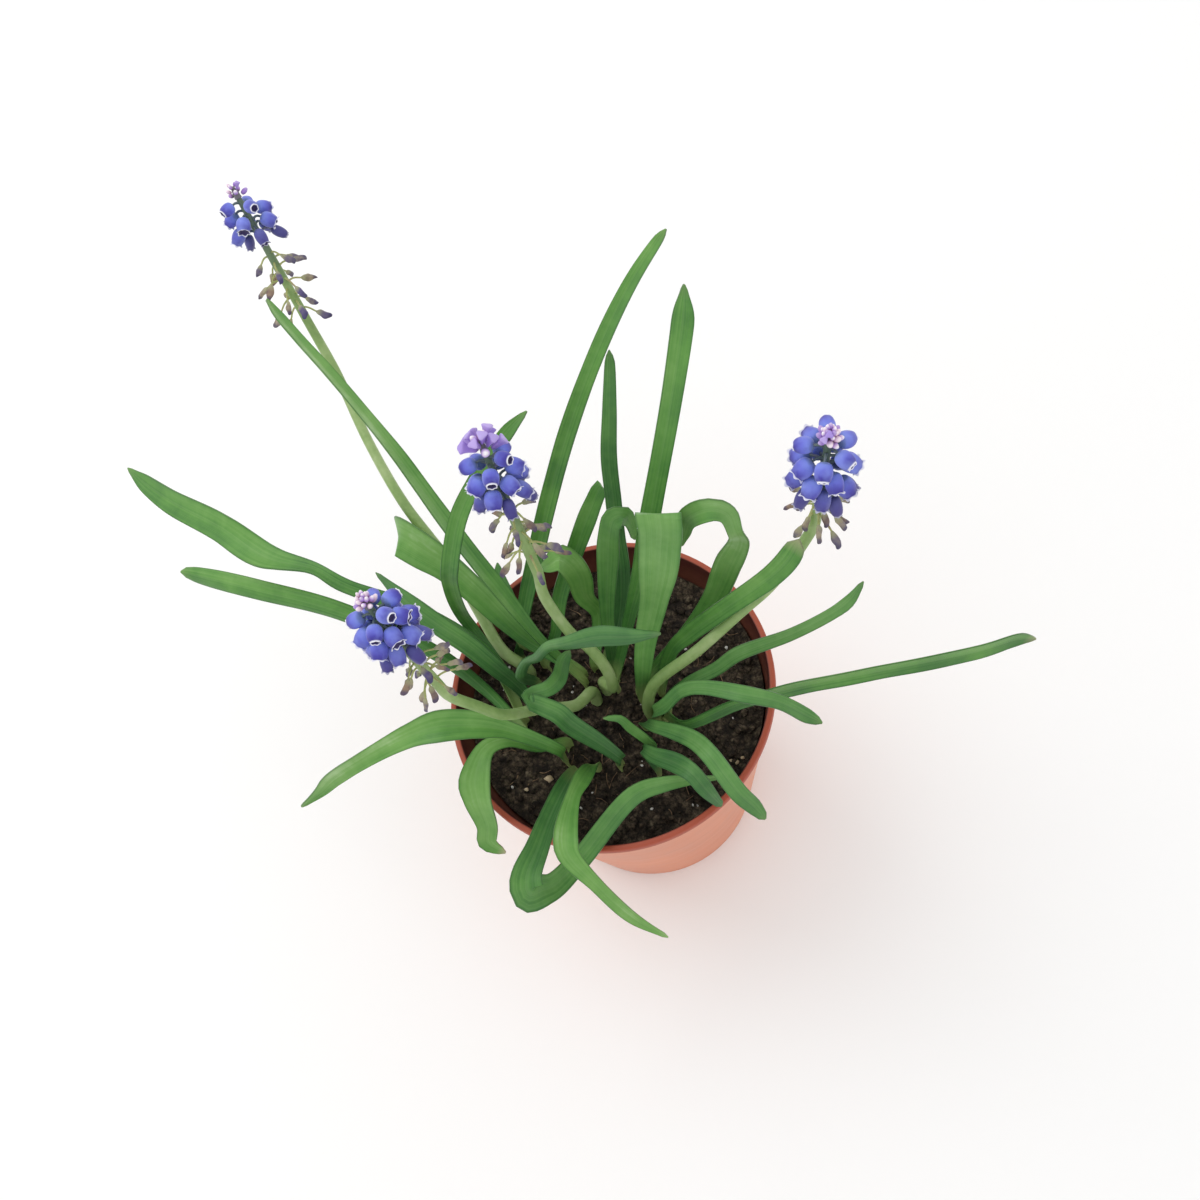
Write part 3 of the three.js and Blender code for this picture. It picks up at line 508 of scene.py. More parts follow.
def makeLeaf(number, row):
    a = math.radians(row["at"])
    out = Vector((math.cos(a), math.sin(a), 0))
    x, y = bulbPlaces[row["bulb"]]
    ring = row.get("ring", leafSet["rootRing"])
    foot = Vector((x, y, 0)) + out * ring + Vector((0, 0, bulbTop + clearance))
    sheath = Vector((x, y, 0)) + out * (ring + 0.3) + Vector((0, 0, bulbTop + leafSet["sheathHeight"]))
    way = Way([foot, sheath, *[point[:3] for point in row["spine"]]])
    widths = [leafSet["rootWidth"], leafSet["sheathWidth"], *[point[3] for point in row["spine"]]]
    count = max(24, round(way.length / leafSet["pace"]))
    frames = way.frames(-out, count)
    seed = number * 7.31
    deselectAll()
    bpy.ops.mesh.primitive_grid_add(x_subdivisions=leafSet["across"], y_subdivisions=count, size=2)
    obj = bpy.context.object
    group = obj.vertex_groups.new(name="body")
    values = []
    kind = "pale" if number in paleLeaves else "dark" if number in darkLeaves else "middle"
    for vertex in obj.data.vertices:
        u, t = vertex.co.x, (vertex.co.y + 1) / 2
        at, point, tangent, normal, side = frames[round(t * count)]
        roll = Quaternion(tangent, math.radians(between(row["roll"], at)))
        across, above = roll @ side, roll @ normal
        half = leafHalf(widths, way.pace(at))
        left = max(0.02, (1 - at) * way.length)
        if left < half:
            half = math.sqrt(half ** 2 - (half - left) ** 2)
        half *= 1 + leafSet["waver"] * noise.noise(Vector((at * 7, seed, 0)))
        rise = half * 2 * row.get("channel", leafSet["channel"]) * (1 - 0.5 * at) * abs(u) ** 1.35
        ripple = leafSet["ripple"] * abs(u) ** 2 * smoothStep(at, 0.15, 0.4)
        rise += ripple * noise.noise(Vector((at * way.length / 16, math.copysign(3, u), seed)))
        vertex.co = (point + across * (u * half) + above * rise) * mm
        group.add([vertex.index], 1 - 0.9 * abs(u) ** 3, "REPLACE")
        # painted shade: darker down in the clump; painted light where the blade arches over, and on a tilted
        # blade the raised half painted lighter than the lower one
        tone = leafTone[kind] + leafTone["foot"] * (1 - smoothStep(at, 0.05, 0.5))
        tone += leafTone["archLight"] * smoothStep(at, 0.4, 0.7)
        tone += leafTone["tilt"] * across.z * clamp(u * 2.5, -1, 1)
        values.append((at, abs(u), tone, leafWax.get(number, leastWax)))
    paintMix(obj, values)
    paintOne(obj, "dry", [leafDry.get(number, leastDry)] * len(values))
    shell = obj.modifiers.new("thickness", "SOLIDIFY")
    shell.thickness = leafSet["thick"] * mm
    shell.offset = -1
    shell.vertex_group = "body"
    shell.thickness_vertex_group = leafSet["rim"]
    applyModifiers(obj)
    obj.vertex_groups.clear()
    smooth(obj, 60)
    obj.name = f"blade_{number:02d}"
    return obj


def leafSurface():
    s = Surface("leafSkin", 0.42)
    along, edge, tone, wax = s.points()
    uv = s.add("ShaderNodeUVMap").outputs["UV"]
    veins = s.noise(s.stretch(uv, (40, 1.2, 1)), 1.0, 2, 0.5)
    streaks = s.noise(s.stretch(uv, (8, 1.4, 1)), 1.0, 3, 0.6)
    patches = s.noise(s.object, 60, 4, 0.65)
    shade = s.math("ADD", s.math("MULTIPLY", patches, 0.85), s.math("MULTIPLY", streaks, 0.55))
    # tone holds each leaf's own lightness together with the painted shade and painted light that makeLeaf
    # puts on it
    shade = s.math("ADD", s.math("ADD", shade, tone), -0.76)
    color = s.ramp(shade, [(0.0, (0.014, 0.075, 0.015)), (0.3, (0.038, 0.16, 0.024)),
                           (0.55, (0.1, 0.28, 0.045)), (0.78, (0.18, 0.38, 0.085)),
                           (1.0, (0.37, 0.55, 0.25))])
    color = s.mix(s.range(veins, 0.35, 0.7, 0.0, 0.22), color, (0.22, 0.4, 0.14))
    color = s.mix(s.math("MULTIPLY", wax, 0.55), color, s.mix(1.0, color, (1.05, 0.88, 1.75), "MULTIPLY"))
    # painted shade: the blade's margins darker
    color = s.mix(s.range(edge, 0.88, 1.0, 0.0, 0.6), color, (0.025, 0.09, 0.022))
    color = s.mix(s.range(edge, 0.14, 0.0, 0.0, 0.12), color, (0.3, 0.46, 0.2))
    color = s.mix(s.range(along, 0.14, 0.02, 0.0, 0.85), color, (0.4, 0.5, 0.18))
    dryness = s.math("MULTIPLY", s.range(along, 0.965, 1.0, 0.0, 1.0), s.value("dry"))
    color = s.mix(dryness, color, (0.5, 0.42, 0.28))
    s.wire(color, "Base Color")
    s.wire(s.range(patches, 0.3, 0.7, 0.34, 0.5), "Roughness")
    s.bump(veins, 0.5, 0.12)
    s.shader.inputs["Specular IOR Level"].default_value = 0.3
    return s.material


leafSkin = leafSurface()
for number, row in enumerate(leafRows, 1):
    blade = makeLeaf(number, row)
    finishPiece(blade, leafSkin, "leaf", f"leaf_{number:02d}")
print("leaves made")

# flower stalks and heads: the zones are where the blue florets start and end, as shares of the head

flowerRows = [
    {"bulb": "b", "offset": (-1.2, -3.8), "florets": 25, "buds": 10, "spent": 12, "size": 1,
     "zones": (0.3, 0.92),
     "stalk": [(-8, -7, 88), (-15, -11, 98), (-21.5, -17, 111), (-25.5, -18.5, 122)],
     "base": (-30.5, -19, 140), "tip": (-41, -8, 168)},
    {"bulb": "b", "offset": (2, -0.9), "florets": 19, "buds": 9, "spent": 14, "size": 0.98,
     "zones": (0.42, 0.92),
     "stalk": [(1.5, -1, 84), (1.7, 0, 97), (-1, 2, 106), (-4, 3, 113), (-8, 7.5, 127)],
     "base": (-8, 11, 140), "tip": (-13, 26, 174)},
    {"bulb": "a", "offset": (0.3, -1.2), "florets": 23, "buds": 10, "spent": 10, "size": 1,
     "zones": (0.24, 0.92),
     "stalk": [(14.5, -4.5, 94), (27.5, -2.5, 109), (39.5, 0, 124), (49.5, 2, 137)],
     "base": (60.5, 9.5, 154), "tip": (65.5, 12.5, 186)},
    {"bulb": "e", "offset": (0, 0), "florets": 13, "buds": 8, "spent": 15, "size": 0.92,
     "zones": (0.48, 0.93),
     "stalk": [(-29.5, 12.5, 82), (-36.5, 24.5, 86.5), (-41.5, 34, 93), (-47, 41, 98.5),
               (-54, 50.5, 104), (-63, 67, 110), (-72, 87.5, 117)],
     "base": (-78, 99.5, 130), "tip": (-89.5, 122.5, 159)},
]

golden = 0.381966  # turns from one flower to the next
scapeSet = {"radii": (1.7, 1.6, 1.5, 1.4, 1.4, 1.2, 0.75), "sides": 14, "pace": 2, "upright": 7}


class Head:
    # a flower head's foot, axis and sides, as in the solids
    def __init__(self, row):
        self.base = Vector(row["base"])
        self.axis = Vector(row["tip"]) - self.base
        self.length = self.axis.length
        self.axis.normalize()
        self.side = self.axis.cross(Vector((0, 0, 1))).normalized()
        self.other = self.axis.cross(self.side)

    def at(self, distance):
        return self.base + self.axis * distance

    def outward(self, turns):
        return (self.side * math.cos(turns * 2 * math.pi) + self.other * math.sin(turns * 2 * math.pi))


def makeRod(name, way, radii, sides, count):
    # a round rod along a way, with its radius from an evenly spaced list
    deselectAll()
    bpy.ops.mesh.primitive_cylinder_add(vertices=sides, radius=1, depth=2, end_fill_type="TRIFAN")
    obj = bpy.context.object
    bpy.ops.object.mode_set(mode="EDIT")
    mesh = bmesh.from_edit_mesh(obj.data)
    walls = [edge for edge in mesh.edges if abs(edge.verts[0].co.z - edge.verts[1].co.z) > 1]
    bmesh.ops.subdivide_edges(mesh, edges=walls, cuts=count - 1, use_grid_fill=True)
    bmesh.update_edit_mesh(obj.data)
    bpy.ops.object.mode_set(mode="OBJECT")
    frames = way.frames(Vector((1, 0, 0.01)), count)
    values = []
    for vertex in obj.data.vertices:
        t = (vertex.co.z + 1) / 2
        at, point, tangent, normal, side = frames[round(t * count)]
        radius = between(radii, at)
        vertex.co = (point + (side * -vertex.co.x + normal * vertex.co.y) * radius) * mm
        values.append((at, 0, 0, 0))
    paintMix(obj, values)
    obj.name = name
    return obj


def makeStalk(number, row):
    x, y = bulbPlaces[row["bulb"]]
    dx, dy = row["offset"]
    foot = Vector((x + dx, y + dy, bulbTop + clearance))
    head = Head(row)
    way = Way([foot, foot + Vector((0, 0, scapeSet["upright"])), *row["stalk"], head.at(-4), head.at(-0.6),
               head.at(head.length * 0.5), head.at(head.length * row["zones"][1])])
    obj = makeRod(f"stem_{number}", way, scapeSet["radii"], scapeSet["sides"],
                  round(way.length / scapeSet["pace"]))
    values = []
    foot = head.base * mm
    for vertex in obj.data.vertices:
        up = (vertex.co - foot).dot(head.axis) / (head.length * mm)
        low = (vertex.co.z / mm - bulbTop) / 14
        values.append((clamp(up + 0.12), clamp(low), number * 0.23, 1))
    paintMix(obj, values)
    smooth(obj, 60)
    return obj


def stalkSurface():
    s = Surface("stalkSkin", 0.42)
    up, low, seed, _ = s.points()
    patches = s.noise(s.object, 90, 3, 0.6)
    fine = s.noise(s.stretch(s.object, (1, 1, 0.25)), 900, 2, 0.5)
    color = s.ramp(s.math("ADD", patches, s.math("MULTIPLY", fine, 0.25)),
                   [(0.35, (0.17, 0.29, 0.08)), (0.6, (0.26, 0.39, 0.13)), (0.85, (0.38, 0.49, 0.22))])
    color = s.mix(s.range(low, 1.0, 0.0, 0.0, 0.4), color, (0.38, 0.47, 0.22))
    color = s.mix(s.range(up, 0.3, 0.7, 0.0, 0.85), color, (0.07, 0.11, 0.1))
    s.wire(color, "Base Color")
    s.bump(fine, 0.25, 0.1)
    return s.material


def turnShape(name, rings, sides):
    # a closed turned body: a round face drawn up ring by ring, rings being (height, radius)
    deselectAll()
    height, radius = rings[0]
    bpy.ops.mesh.primitive_circle_add(vertices=sides, radius=radius, fill_type="NGON",
                                      location=(0, 0, height))
    obj = bpy.context.object
    bpy.ops.object.transform_apply(location=True)
    bpy.ops.object.mode_set(mode="EDIT")
    bpy.ops.mesh.select_all(action="SELECT")
    for (z0, r0), (z1, r1) in zip(rings, rings[1:]):
        bpy.ops.mesh.extrude_region_move(TRANSFORM_OT_translate={"value": (0, 0, z1 - z0)})
        bpy.ops.transform.resize(value=(r1 / r0, r1 / r0, 1), center_override=(0, 0, z1))
    bpy.ops.mesh.select_all(action="SELECT")
    bpy.ops.mesh.normals_make_consistent(inside=False)
    bpy.ops.object.mode_set(mode="OBJECT")
    obj.name = name
    return obj


# the blue florets: barrels with six ribs, and a mouth with six pale teeth turned out
floretSet = {"length": 5.6, "width": 4.75, "lowReach": 4.2, "topReach": 3.4, "sides": 24,
             "vary": (0.94, 1.04), "stalk": 0.4,
             "body": [(0.0, 0.1), (0.02, 0.22), (0.09, 0.37), (0.22, 0.46), (0.42, 0.5), (0.62, 0.48),
                      (0.78, 0.42), (0.86, 0.37)],
             "teeth": [(0.92, 0.4), (0.99, 0.47)],
             "throat": [(0.97, 0.42), (0.88, 0.3), (0.74, 0.26)]}


def makeFloret(name, openness):
    length, width = floretSet["length"], floretSet["width"]
    body = [(z, r * width) for z, r in floretSet["body"]]
    closed = 0.5 + 0.5 * openness
    teeth = [(z, r * width * closed) for z, r in floretSet["teeth"]]
    throat = [(z, r * width * closed) for z, r in floretSet["throat"]]
    rings = [(z * length, r) for z, r in body + teeth + throat]
    obj = turnShape(name, rings, floretSet["sides"])
    values = []
    for index, vertex in enumerate(obj.data.vertices):
        angle = math.atan2(vertex.co.y, vertex.co.x)
        z = vertex.co.z
        ring = min(index // floretSet["sides"], len(rings) - 1)
        lobe = math.cos(6 * angle)
        tooth = 0.0
        swell = 1 + 0.03 * lobe * smoothStep(z / length, 0.1, 0.5)
        if len(body) <= ring < len(body) + 3:
            far = min(ring - len(body) + 1, 2)
            swell *= 1 + openness * 0.07 * far * lobe
            vertex.co.z -= 0.18 * far * (1 - lobe) * openness
            tooth = 1.0
        elif ring == len(body) - 1:
            tooth = 0.45
        vertex.co.x *= swell
        vertex.co.y *= swell
        # the throat's inside, which the floret material paints dark as painted shade
        inner = 1.0 if ring >= len(body) + 3 else 0.0
        values.append((z / length, tooth, inner, 0))
    paintMix(obj, values)
    roundOff(obj)
    return obj


def makeBud(name, rings, sides=8, ribs=0.08, kind=0):
    obj = turnShape(name, rings, sides)
    top = rings[-1][0]
    values = []
    for vertex in obj.data.vertices:
        angle = math.atan2(vertex.co.y, vertex.co.x)
        swell = 1 + ribs * math.cos(3 * angle)
        vertex.co.x *= swell
        vertex.co.y *= swell
        values.append((vertex.co.z / top, kind, 0, 0))
    paintMix(obj, values)
    roundOff(obj)
    return obj


def makeWithered(name, seed):
    # a dried flower: a small ovary, then the crumpled tube with its shrunken mouth
    rings = [(0.0, 0.2), (0.3, 0.46), (0.9, 0.66), (1.5, 0.72), (2.1, 0.84), (2.8, 0.86), (3.4, 0.62),
             (3.9, 0.56), (4.3, 0.25)]
    top = rings[-1][0]
    obj = turnShape(name, rings, 10)
    values = []
    for vertex in obj.data.vertices:
        z = vertex.co.z
        if z > 0.7:
            place = Vector((vertex.co.x * 0.9, vertex.co.y * 0.9, z * 0.8 + seed))
            push = noise.noise_vector(place) * 0.55
            vertex.co += Vector((push.x, push.y, push.z * 0.5))
            pinch = 1 - 0.3 * math.cos(3 * math.atan2(vertex.co.y, vertex.co.x) + seed)
            vertex.co.x *= pinch
            vertex.co.y *= pinch
        values.append((z / top, 0, 0, 0))
    paintMix(obj, values)
    roundOff(obj)
    return obj


def anySpin(draw):
    return draw.uniform(0, 6.28)


def placeCopy(model, point, direction, size, spin, tone):
    # a copy with its own mesh, standing on a point (mm) and looking along a direction
    copy = model.copy()
    copy.data = model.data.copy()
    bpy.context.collection.objects.link(copy)
    turn = Vector((0, 0, 1)).rotation_difference(direction) @ Quaternion((0, 0, 1), spin)
    scale = size if isinstance(size, Vector) else Vector((size, size, size))
    copy.data.transform(Matrix.LocRotScale(point * mm, turn, scale * mm))
    layer = copy.data.attributes["mix"]
    flat = [0.0] * (4 * len(layer.data))
    layer.data.foreach_get("color", flat)
    flat[3::4] = [tone] * len(layer.data)
    layer.data.foreach_set("color", flat)
    return copy


def makePedicels(name, ways, radius, taper):
    # thin stalks as one set of curves, made a mesh
    deselectAll()
    curve = bpy.data.curves.new(name, "CURVE")
    curve.dimensions = "3D"
    curve.bevel_depth = radius * mm
    curve.bevel_resolution = 1
    curve.resolution_u = 4
    curve.use_fill_caps = True
    for points in ways:
        spline = curve.splines.new("BEZIER")
        spline.bezier_points.add(len(points) - 1)
        for i, (spot, point) in enumerate(zip(spline.bezier_points, points)):
            spot.co = point * mm
            spot.handle_left_type = spot.handle_right_type = "AUTO"
            spot.radius = lerp(1, taper, i / (len(points) - 1))
    obj = bpy.data.objects.new(name, curve)
    bpy.context.collection.objects.link(obj)
    takeUp(obj)
    bpy.ops.object.convert(target="MESH")
    obj = bpy.context.object
    paintMix(obj, [(0.0, 0, 0, 0.5)] * len(obj.data.vertices))
    return obj


def makeHead(number, row, models):
    head = Head(row)
    draw = random.Random(40 + number)
    low, high = row["zones"][0] * head.length + 0.3, row["zones"][1] * head.length
    down = Vector((0, 0, -1))
    florets, stalks = [], []
    for i in range(row["florets"]):
        along = (i + 0.5) / row["florets"]
        nod = lerp(1.7, 0.1, along)
        size = row["size"] * lerp(1, 0.8, along * along)
        out = head.outward(i * golden)
        direction = (out - head.axis * 0.5 * nod + down * 0.6 * nod).normalized()
        start = head.at(lerp(low + 4.5, high - 2, along))
        neck = start + out * lerp(floretSet["lowReach"], floretSet["topReach"], along) * size
        faded = smoothStep(along, 0.45, 0.1)
        model = models["open"] if 0.1 < along < 0.8 else models["shut"]
        vary = floretSet["vary"]
        wide = Vector((size * draw.uniform(*vary), size * draw.uniform(*vary), size))
        wide = Vector((wide.x * (1 - 0.3 * faded), wide.y * (1 - 0.3 * faded), wide.z))
        tilt = head.axis * draw.uniform(-0.12, 0.12)
        tilt += head.outward(i * golden + 0.25) * draw.uniform(-0.12, 0.12)
        look = (direction + tilt).normalized()
        florets.append(placeCopy(model, neck, look, wide, anySpin(draw), faded))
        stalks.append([start - head.axis * 0.6, start + (neck - start) * 0.6 + head.axis * 0.5 * nod,
                       neck + look * 0.15])
    flowers = joinAll(florets, f"florets_{number}")
    smooth(flowers, 70)
    return flowers, makePedicels(f"floretStalks_{number}", stalks, floretSet["stalk"], 0.8)


crownSet = {1: {"count": 20, "star": 0.0, "size": 0.95, "spread": 1.2},
            2: {"count": 14, "star": 0.8, "size": 1.4, "spread": 1.7},
            3: {"count": 26, "star": 0.15, "size": 0.95, "spread": 1.2},
            4: {"count": 10, "star": 0.3, "size": 0.85, "spread": 1.4}}


def makeCrown(number, row, models):
    head = Head(row)
    draw = random.Random(70 + number)
    look = crownSet[number]
    low = row["zones"][1] * head.length - 1.6
    buds = []
    for i in range(look["count"]):
        along = (i + 0.5) / look["count"]
        lift = lerp(0.35, 2.6, along ** 1.5)
        direction = (head.outward(i * golden) + head.axis * lift).normalized()
        start = head.at(lerp(low, head.length - 2.2, along)) + direction * look["spread"]
        size = look["size"] * lerp(1.15, 0.75, along) * draw.uniform(0.85, 1.1)
        model = models["star"] if draw.random() < look["star"] and along < 0.8 else models["bud"]
        buds.append(placeCopy(model, start, direction, size, anySpin(draw), draw.random()))
    coreWay = Way([head.at(low), head.at(head.length * 0.97), head.at(head.length - 1)])
    core = makeRod(f"core_{number}", coreWay, (1.1, 0.9, 0.5), 8, 4)
    paintMix(core, [(0, 0, 0, 0.5)] * len(core.data.vertices))
    crown = joinAll([*buds, core], f"buds_{number}")
    smooth(crown, 70)
    return crown


spentSet = {"more": 1.35, "lowReach": 5.6, "topReach": 4.2, "size": (0.85, 1.15), "stalk": 0.3}


def makeSpent(number, row, models):
    head = Head(row)
    draw = random.Random(11 + number)
    high = row["zones"][0] * head.length
    dried, stalks = [], []
    count = round(row["spent"] * spentSet["more"])
    for i in range(count):
        along = (i + 0.5) / count
        start = head.at(lerp(1, high + 1, along))
        nod = lerp(-0.1, 0.9, draw.random())
        direction = (head.outward(i * golden) - head.axis * nod).normalized()
        reach = lerp(spentSet["lowReach"], spentSet["topReach"], along) * lerp(0.8, 1.15, draw.random())
        size = draw.uniform(*spentSet["size"])
        end = start + direction * reach
        look = (direction - head.axis * draw.uniform(0, 0.5) + Vector((0, 0, -0.25))).normalized()
        model = models["dry1"] if draw.random() < 0.5 else models["dry2"]
        dried.append(placeCopy(model, end, look, size, anySpin(draw), draw.random()))
        stalks.append([start, start + direction * reach * 0.5 + head.axis * 0.7, end + look * 0.2])
    spent = joinAll(dried, f"dried_{number}")
    smooth(spent, 70)
    return spent, makePedicels(f"driedStalks_{number}", stalks, spentSet["stalk"], 0.8)


def floretSurface():
    # the fourth part of the point attribute is how far a floret has faded
    s = Surface("floretSkin", 0.55)
    along, tooth, inner, faded = s.points()
    fine = s.noise(s.object, 420, 2, 0.5)
    bloom = s.noise(s.object, 170, 3, 0.6)
    place = s.math("ADD", along, s.math("MULTIPLY", s.math("SUBTRACT", fine, 0.5), 0.3))
    body = s.ramp(place, [(0.0, (0.12, 0.19, 0.36)), (0.14, (0.2, 0.26, 0.76)), (0.42, (0.14, 0.16, 0.66)),
                          (0.7, (0.07, 0.062, 0.42)), (0.88, (0.04, 0.03, 0.27))])
    body = s.mix(s.range(bloom, 0.45, 0.68, 0.0, 0.6), body, (0.26, 0.33, 0.84))
    body = s.mix(s.range(bloom, 0.42, 0.28, 0.0, 0.6), body, (0.075, 0.07, 0.4))
    body = s.mix(s.math("MULTIPLY", faded, 0.8), body, (0.05, 0.035, 0.17))
    # painted shade: the inside of the throat near black
    body = s.mix(inner, body, (0.03, 0.02, 0.1))
    fringe = s.math("MULTIPLY", s.range(tooth, 0.5, 0.95), s.range(faded, 0.0, 1.0, 1.0, 0.45))
    s.wire(s.mix(fringe, body, (0.88, 0.88, 0.95)), "Base Color")
    s.bump(fine, 0.2, 0.15)
    s.shader.inputs["Specular IOR Level"].default_value = 0.3
    s.shader.inputs["Sheen Weight"].default_value = 0.25
    return s.material


def budSurface():
    s = Surface("budSkin", 0.5)
    along, kind, _, tone = s.points()
    color = s.ramp(along, [(0.0, (0.16, 0.15, 0.17)), (0.3, (0.4, 0.2, 0.5)), (0.62, (0.5, 0.33, 0.72)),
                           (0.85, (0.8, 0.66, 0.85)), (1.0, (0.95, 0.92, 0.95))])
    pink = s.mix(along, (0.5, 0.2, 0.4), (0.95, 0.84, 0.9))
    color = s.mix(s.range(tone, 0.55, 0.6), color, pink)
    color = s.mix(s.range(tone, 0.28, 0.22, 0.0, 0.75), color, (0.34, 0.2, 0.62))
    color = s.mix(s.math("MULTIPLY", kind, 0.8), color, (0.36, 0.24, 0.72))
    s.wire(color, "Base Color")
    return s.material


def driedSurface():
    s = Surface("driedSkin", 0.8)
    along, _, _, tone = s.points()
    patches = s.noise(s.object, 500, 3, 0.6)
    tube = s.ramp(s.math("ADD", tone, s.math("MULTIPLY", s.math("SUBTRACT", patches, 0.5), 0.9)),
                  [(0.0, (0.32, 0.22, 0.15)), (0.25, (0.17, 0.12, 0.11)), (0.5, (0.4, 0.34, 0.23)),
                   (0.7, (0.2, 0.17, 0.2)), (1.0, (0.1, 0.08, 0.2))])
    color = s.mix(s.range(along, 0.45, 0.15, 0.0, 0.85), tube, (0.42, 0.42, 0.24))
    color = s.mix(s.range(along, 0.62, 0.85, 0.0, 0.7), color, (0.045, 0.04, 0.12))
    s.wire(color, "Base Color")
    s.bump(patches, 0.6, 0.25)
    return s.material


models = {
    "open": makeFloret("floretOpen", 1.0),
    "shut": makeFloret("floretShut", 0.35),
    "star": makeBud("starModel", [(0.0, 0.35), (0.5, 0.5), (1.4, 0.55), (2.3, 0.75), (2.9, 1.2),
                                  (3.0, 0.5)], 12, 0.3, 1),
    "bud": makeBud("budModel", [(0.0, 0.35), (0.3, 0.62), (0.9, 0.8), (1.5, 0.72), (2.0, 0.42),
                                (2.2, 0.15)]),
    "dry1": makeWithered("dryModel1", 1.7),
    "dry2": makeWithered("dryModel2", 8.4),
}
stalkSkin, floretSkin, budSkin, driedSkin = stalkSurface(), floretSurface(), budSurface(), driedSurface()
pedicelSkin = mottledSurface("pedicelSkin", 0.5, (300, 2, 0.5), (0.35, 0.55, 0.7),
                             [(0.06, 0.09, 0.13), (0.12, 0.17, 0.16), (0.17, 0.15, 0.3)])
driedStalkSkin = mottledSurface("driedStalkSkin", 0.55, (250, 2, 0.5), (0.35, 0.6, 0.75),
                                [(0.33, 0.38, 0.12), (0.45, 0.47, 0.18), (0.38, 0.3, 0.16)])
for number, row in enumerate(flowerRows, 1):
    finishPiece(makeStalk(number, row), stalkSkin, "stalk", f"scape_{number}")
    flowers, pedicels = makeHead(number, row, models)
    finishPiece(flowers, floretSkin, "floret", f"raceme_{number}")
    finishPiece(pedicels, pedicelSkin, "floret", f"raceme_{number}")
    finishPiece(makeCrown(number, row, models), budSkin, "crown", f"crown_{number}")
    dried, driedStalks = makeSpent(number, row, models)
    finishPiece(dried, driedSkin, "spent", f"spent_{number}")
    finishPiece(driedStalks, driedStalkSkin, "spent", f"spent_{number}")
for model in models.values():
    bpy.data.objects.remove(model)
print("flower heads made")


# the pot, turned from its outline

potSet = {"sides": 120, "holes": 5, "holeRadius": 2.5, "holeRing": 19, "holeSides": 24,
          "outline": [(0, 0), (11.6, 0), (12.2, 0.4), (12.8, 1.7), (13.4, 2), (24.6, 2), (25.2, 1.7),
                      (25.8, 0.4), (26.4, 0), (30.4, 0), (31, 0.6), (43.75, 76.8), (43.85, 77.3),
                      (44.6, 77.4), (45, 77.9), (45, 79.5), (44.8, 79.85), (44.4, 80), (43.7, 80),
                      (43.35, 79.85), (43.2, 79.4), (30.7, 4.6), (30.1, 3.8), (0, 3.8)]}


def makePot():
    deselectAll()
    bpy.ops.mesh.primitive_plane_add(size=1, location=(0, 0, 0))
    obj = bpy.context.object
    bpy.ops.object.mode_set(mode="EDIT")
    bpy.ops.mesh.select_all(action="SELECT")
    bpy.ops.mesh.merge(type="CENTER")
    outline = potSet["outline"]
    for (r0, z0), (r1, z1) in zip(outline, outline[1:]):
        step = ((r1 - r0) * mm, 0, (z1 - z0) * mm)
        bpy.ops.mesh.extrude_vertices_move(TRANSFORM_OT_translate={"value": step})
    bpy.ops.mesh.select_all(action="SELECT")
    bpy.ops.mesh.spin(steps=potSet["sides"], angle=math.tau, center=(0, 0, 0), axis=(0, 0, 1))
    bpy.ops.mesh.select_all(action="SELECT")
    bpy.ops.mesh.remove_doubles(threshold=0.00001)
    bpy.ops.mesh.normals_make_consistent(inside=False)
    bpy.ops.object.mode_set(mode="OBJECT")
    ring = potSet["holeRing"] * mm
    for i in range(potSet["holes"]):
        angle = math.tau * i / potSet["holes"]
        bpy.ops.object.select_all(action="DESELECT")
        bpy.ops.mesh.primitive_cylinder_add(vertices=potSet["holeSides"], radius=potSet["holeRadius"] * mm,
                                            depth=12 * mm,
                                            location=(ring * math.cos(angle), ring * math.sin(angle), 2 * mm))
        drill = bpy.context.object
        cut = obj.modifiers.new("hole", "BOOLEAN")
        cut.operation = "DIFFERENCE"
        cut.object = drill
        applyModifiers(obj)
        bpy.data.objects.remove(drill)
    # the inner wall is marked for painted shade in the pot's material
    inside = []
    for vertex in obj.data.vertices:
        z = vertex.co.z / mm
        wall = lerp(30.1, 43.2, (z - 3.8) / 75.6)  # the inner wall's radius at this height
        inside.append(1.0 if z > 3 and abs(vertex.co.xy.length / mm - wall) < 0.25 else 0.0)
    paintOne(obj, "inside", inside)
    smooth(obj, 35)
    obj.name = "pottery"
    return obj


def potSurface():
    s = Surface("potPlastic", 0.42)
    spots = s.noise(s.object, 45, 4, 0.6)
    fine = s.noise(s.object, 900, 2, 0.5)
    rings = s.noise(s.stretch(s.object, (1, 1, 40)), 9, 2, 0.5)
    height = s.add("ShaderNodeSeparateXYZ", {"Vector": s.object}).outputs["Z"]
    color = s.ramp(spots, [(0.3, (0.6, 0.2, 0.1)), (0.55, (0.68, 0.25, 0.14)), (0.8, (0.76, 0.32, 0.19))])
    color = s.mix(s.range(rings, 0.4, 0.7, 0.0, 0.25), color, (0.78, 0.38, 0.26))
    color = s.mix(s.range(height, 0.0765, 0.0775, 0.0, 0.9), color, (0.36, 0.06, 0.03))
    # painted shade: the inner wall dark
    color = s.mix(s.value("inside"), color, (0.09, 0.022, 0.018))
    s.wire(color, "Base Color")
    s.wire(s.range(spots, 0.3, 0.7, 0.35, 0.5), "Roughness")
    s.bump(s.math("ADD", fine, s.math("MULTIPLY", rings, 0.6)), 0.15, 0.2)
    s.shader.inputs["Specular IOR Level"].default_value = 0.3
    return s.material


potPlastic = potSurface()
finishPiece(makePot(), potPlastic, "pot", "pot")
print("pot made")


# soil: an uneven top with crumbs, perlite grains, fibres and pebbles

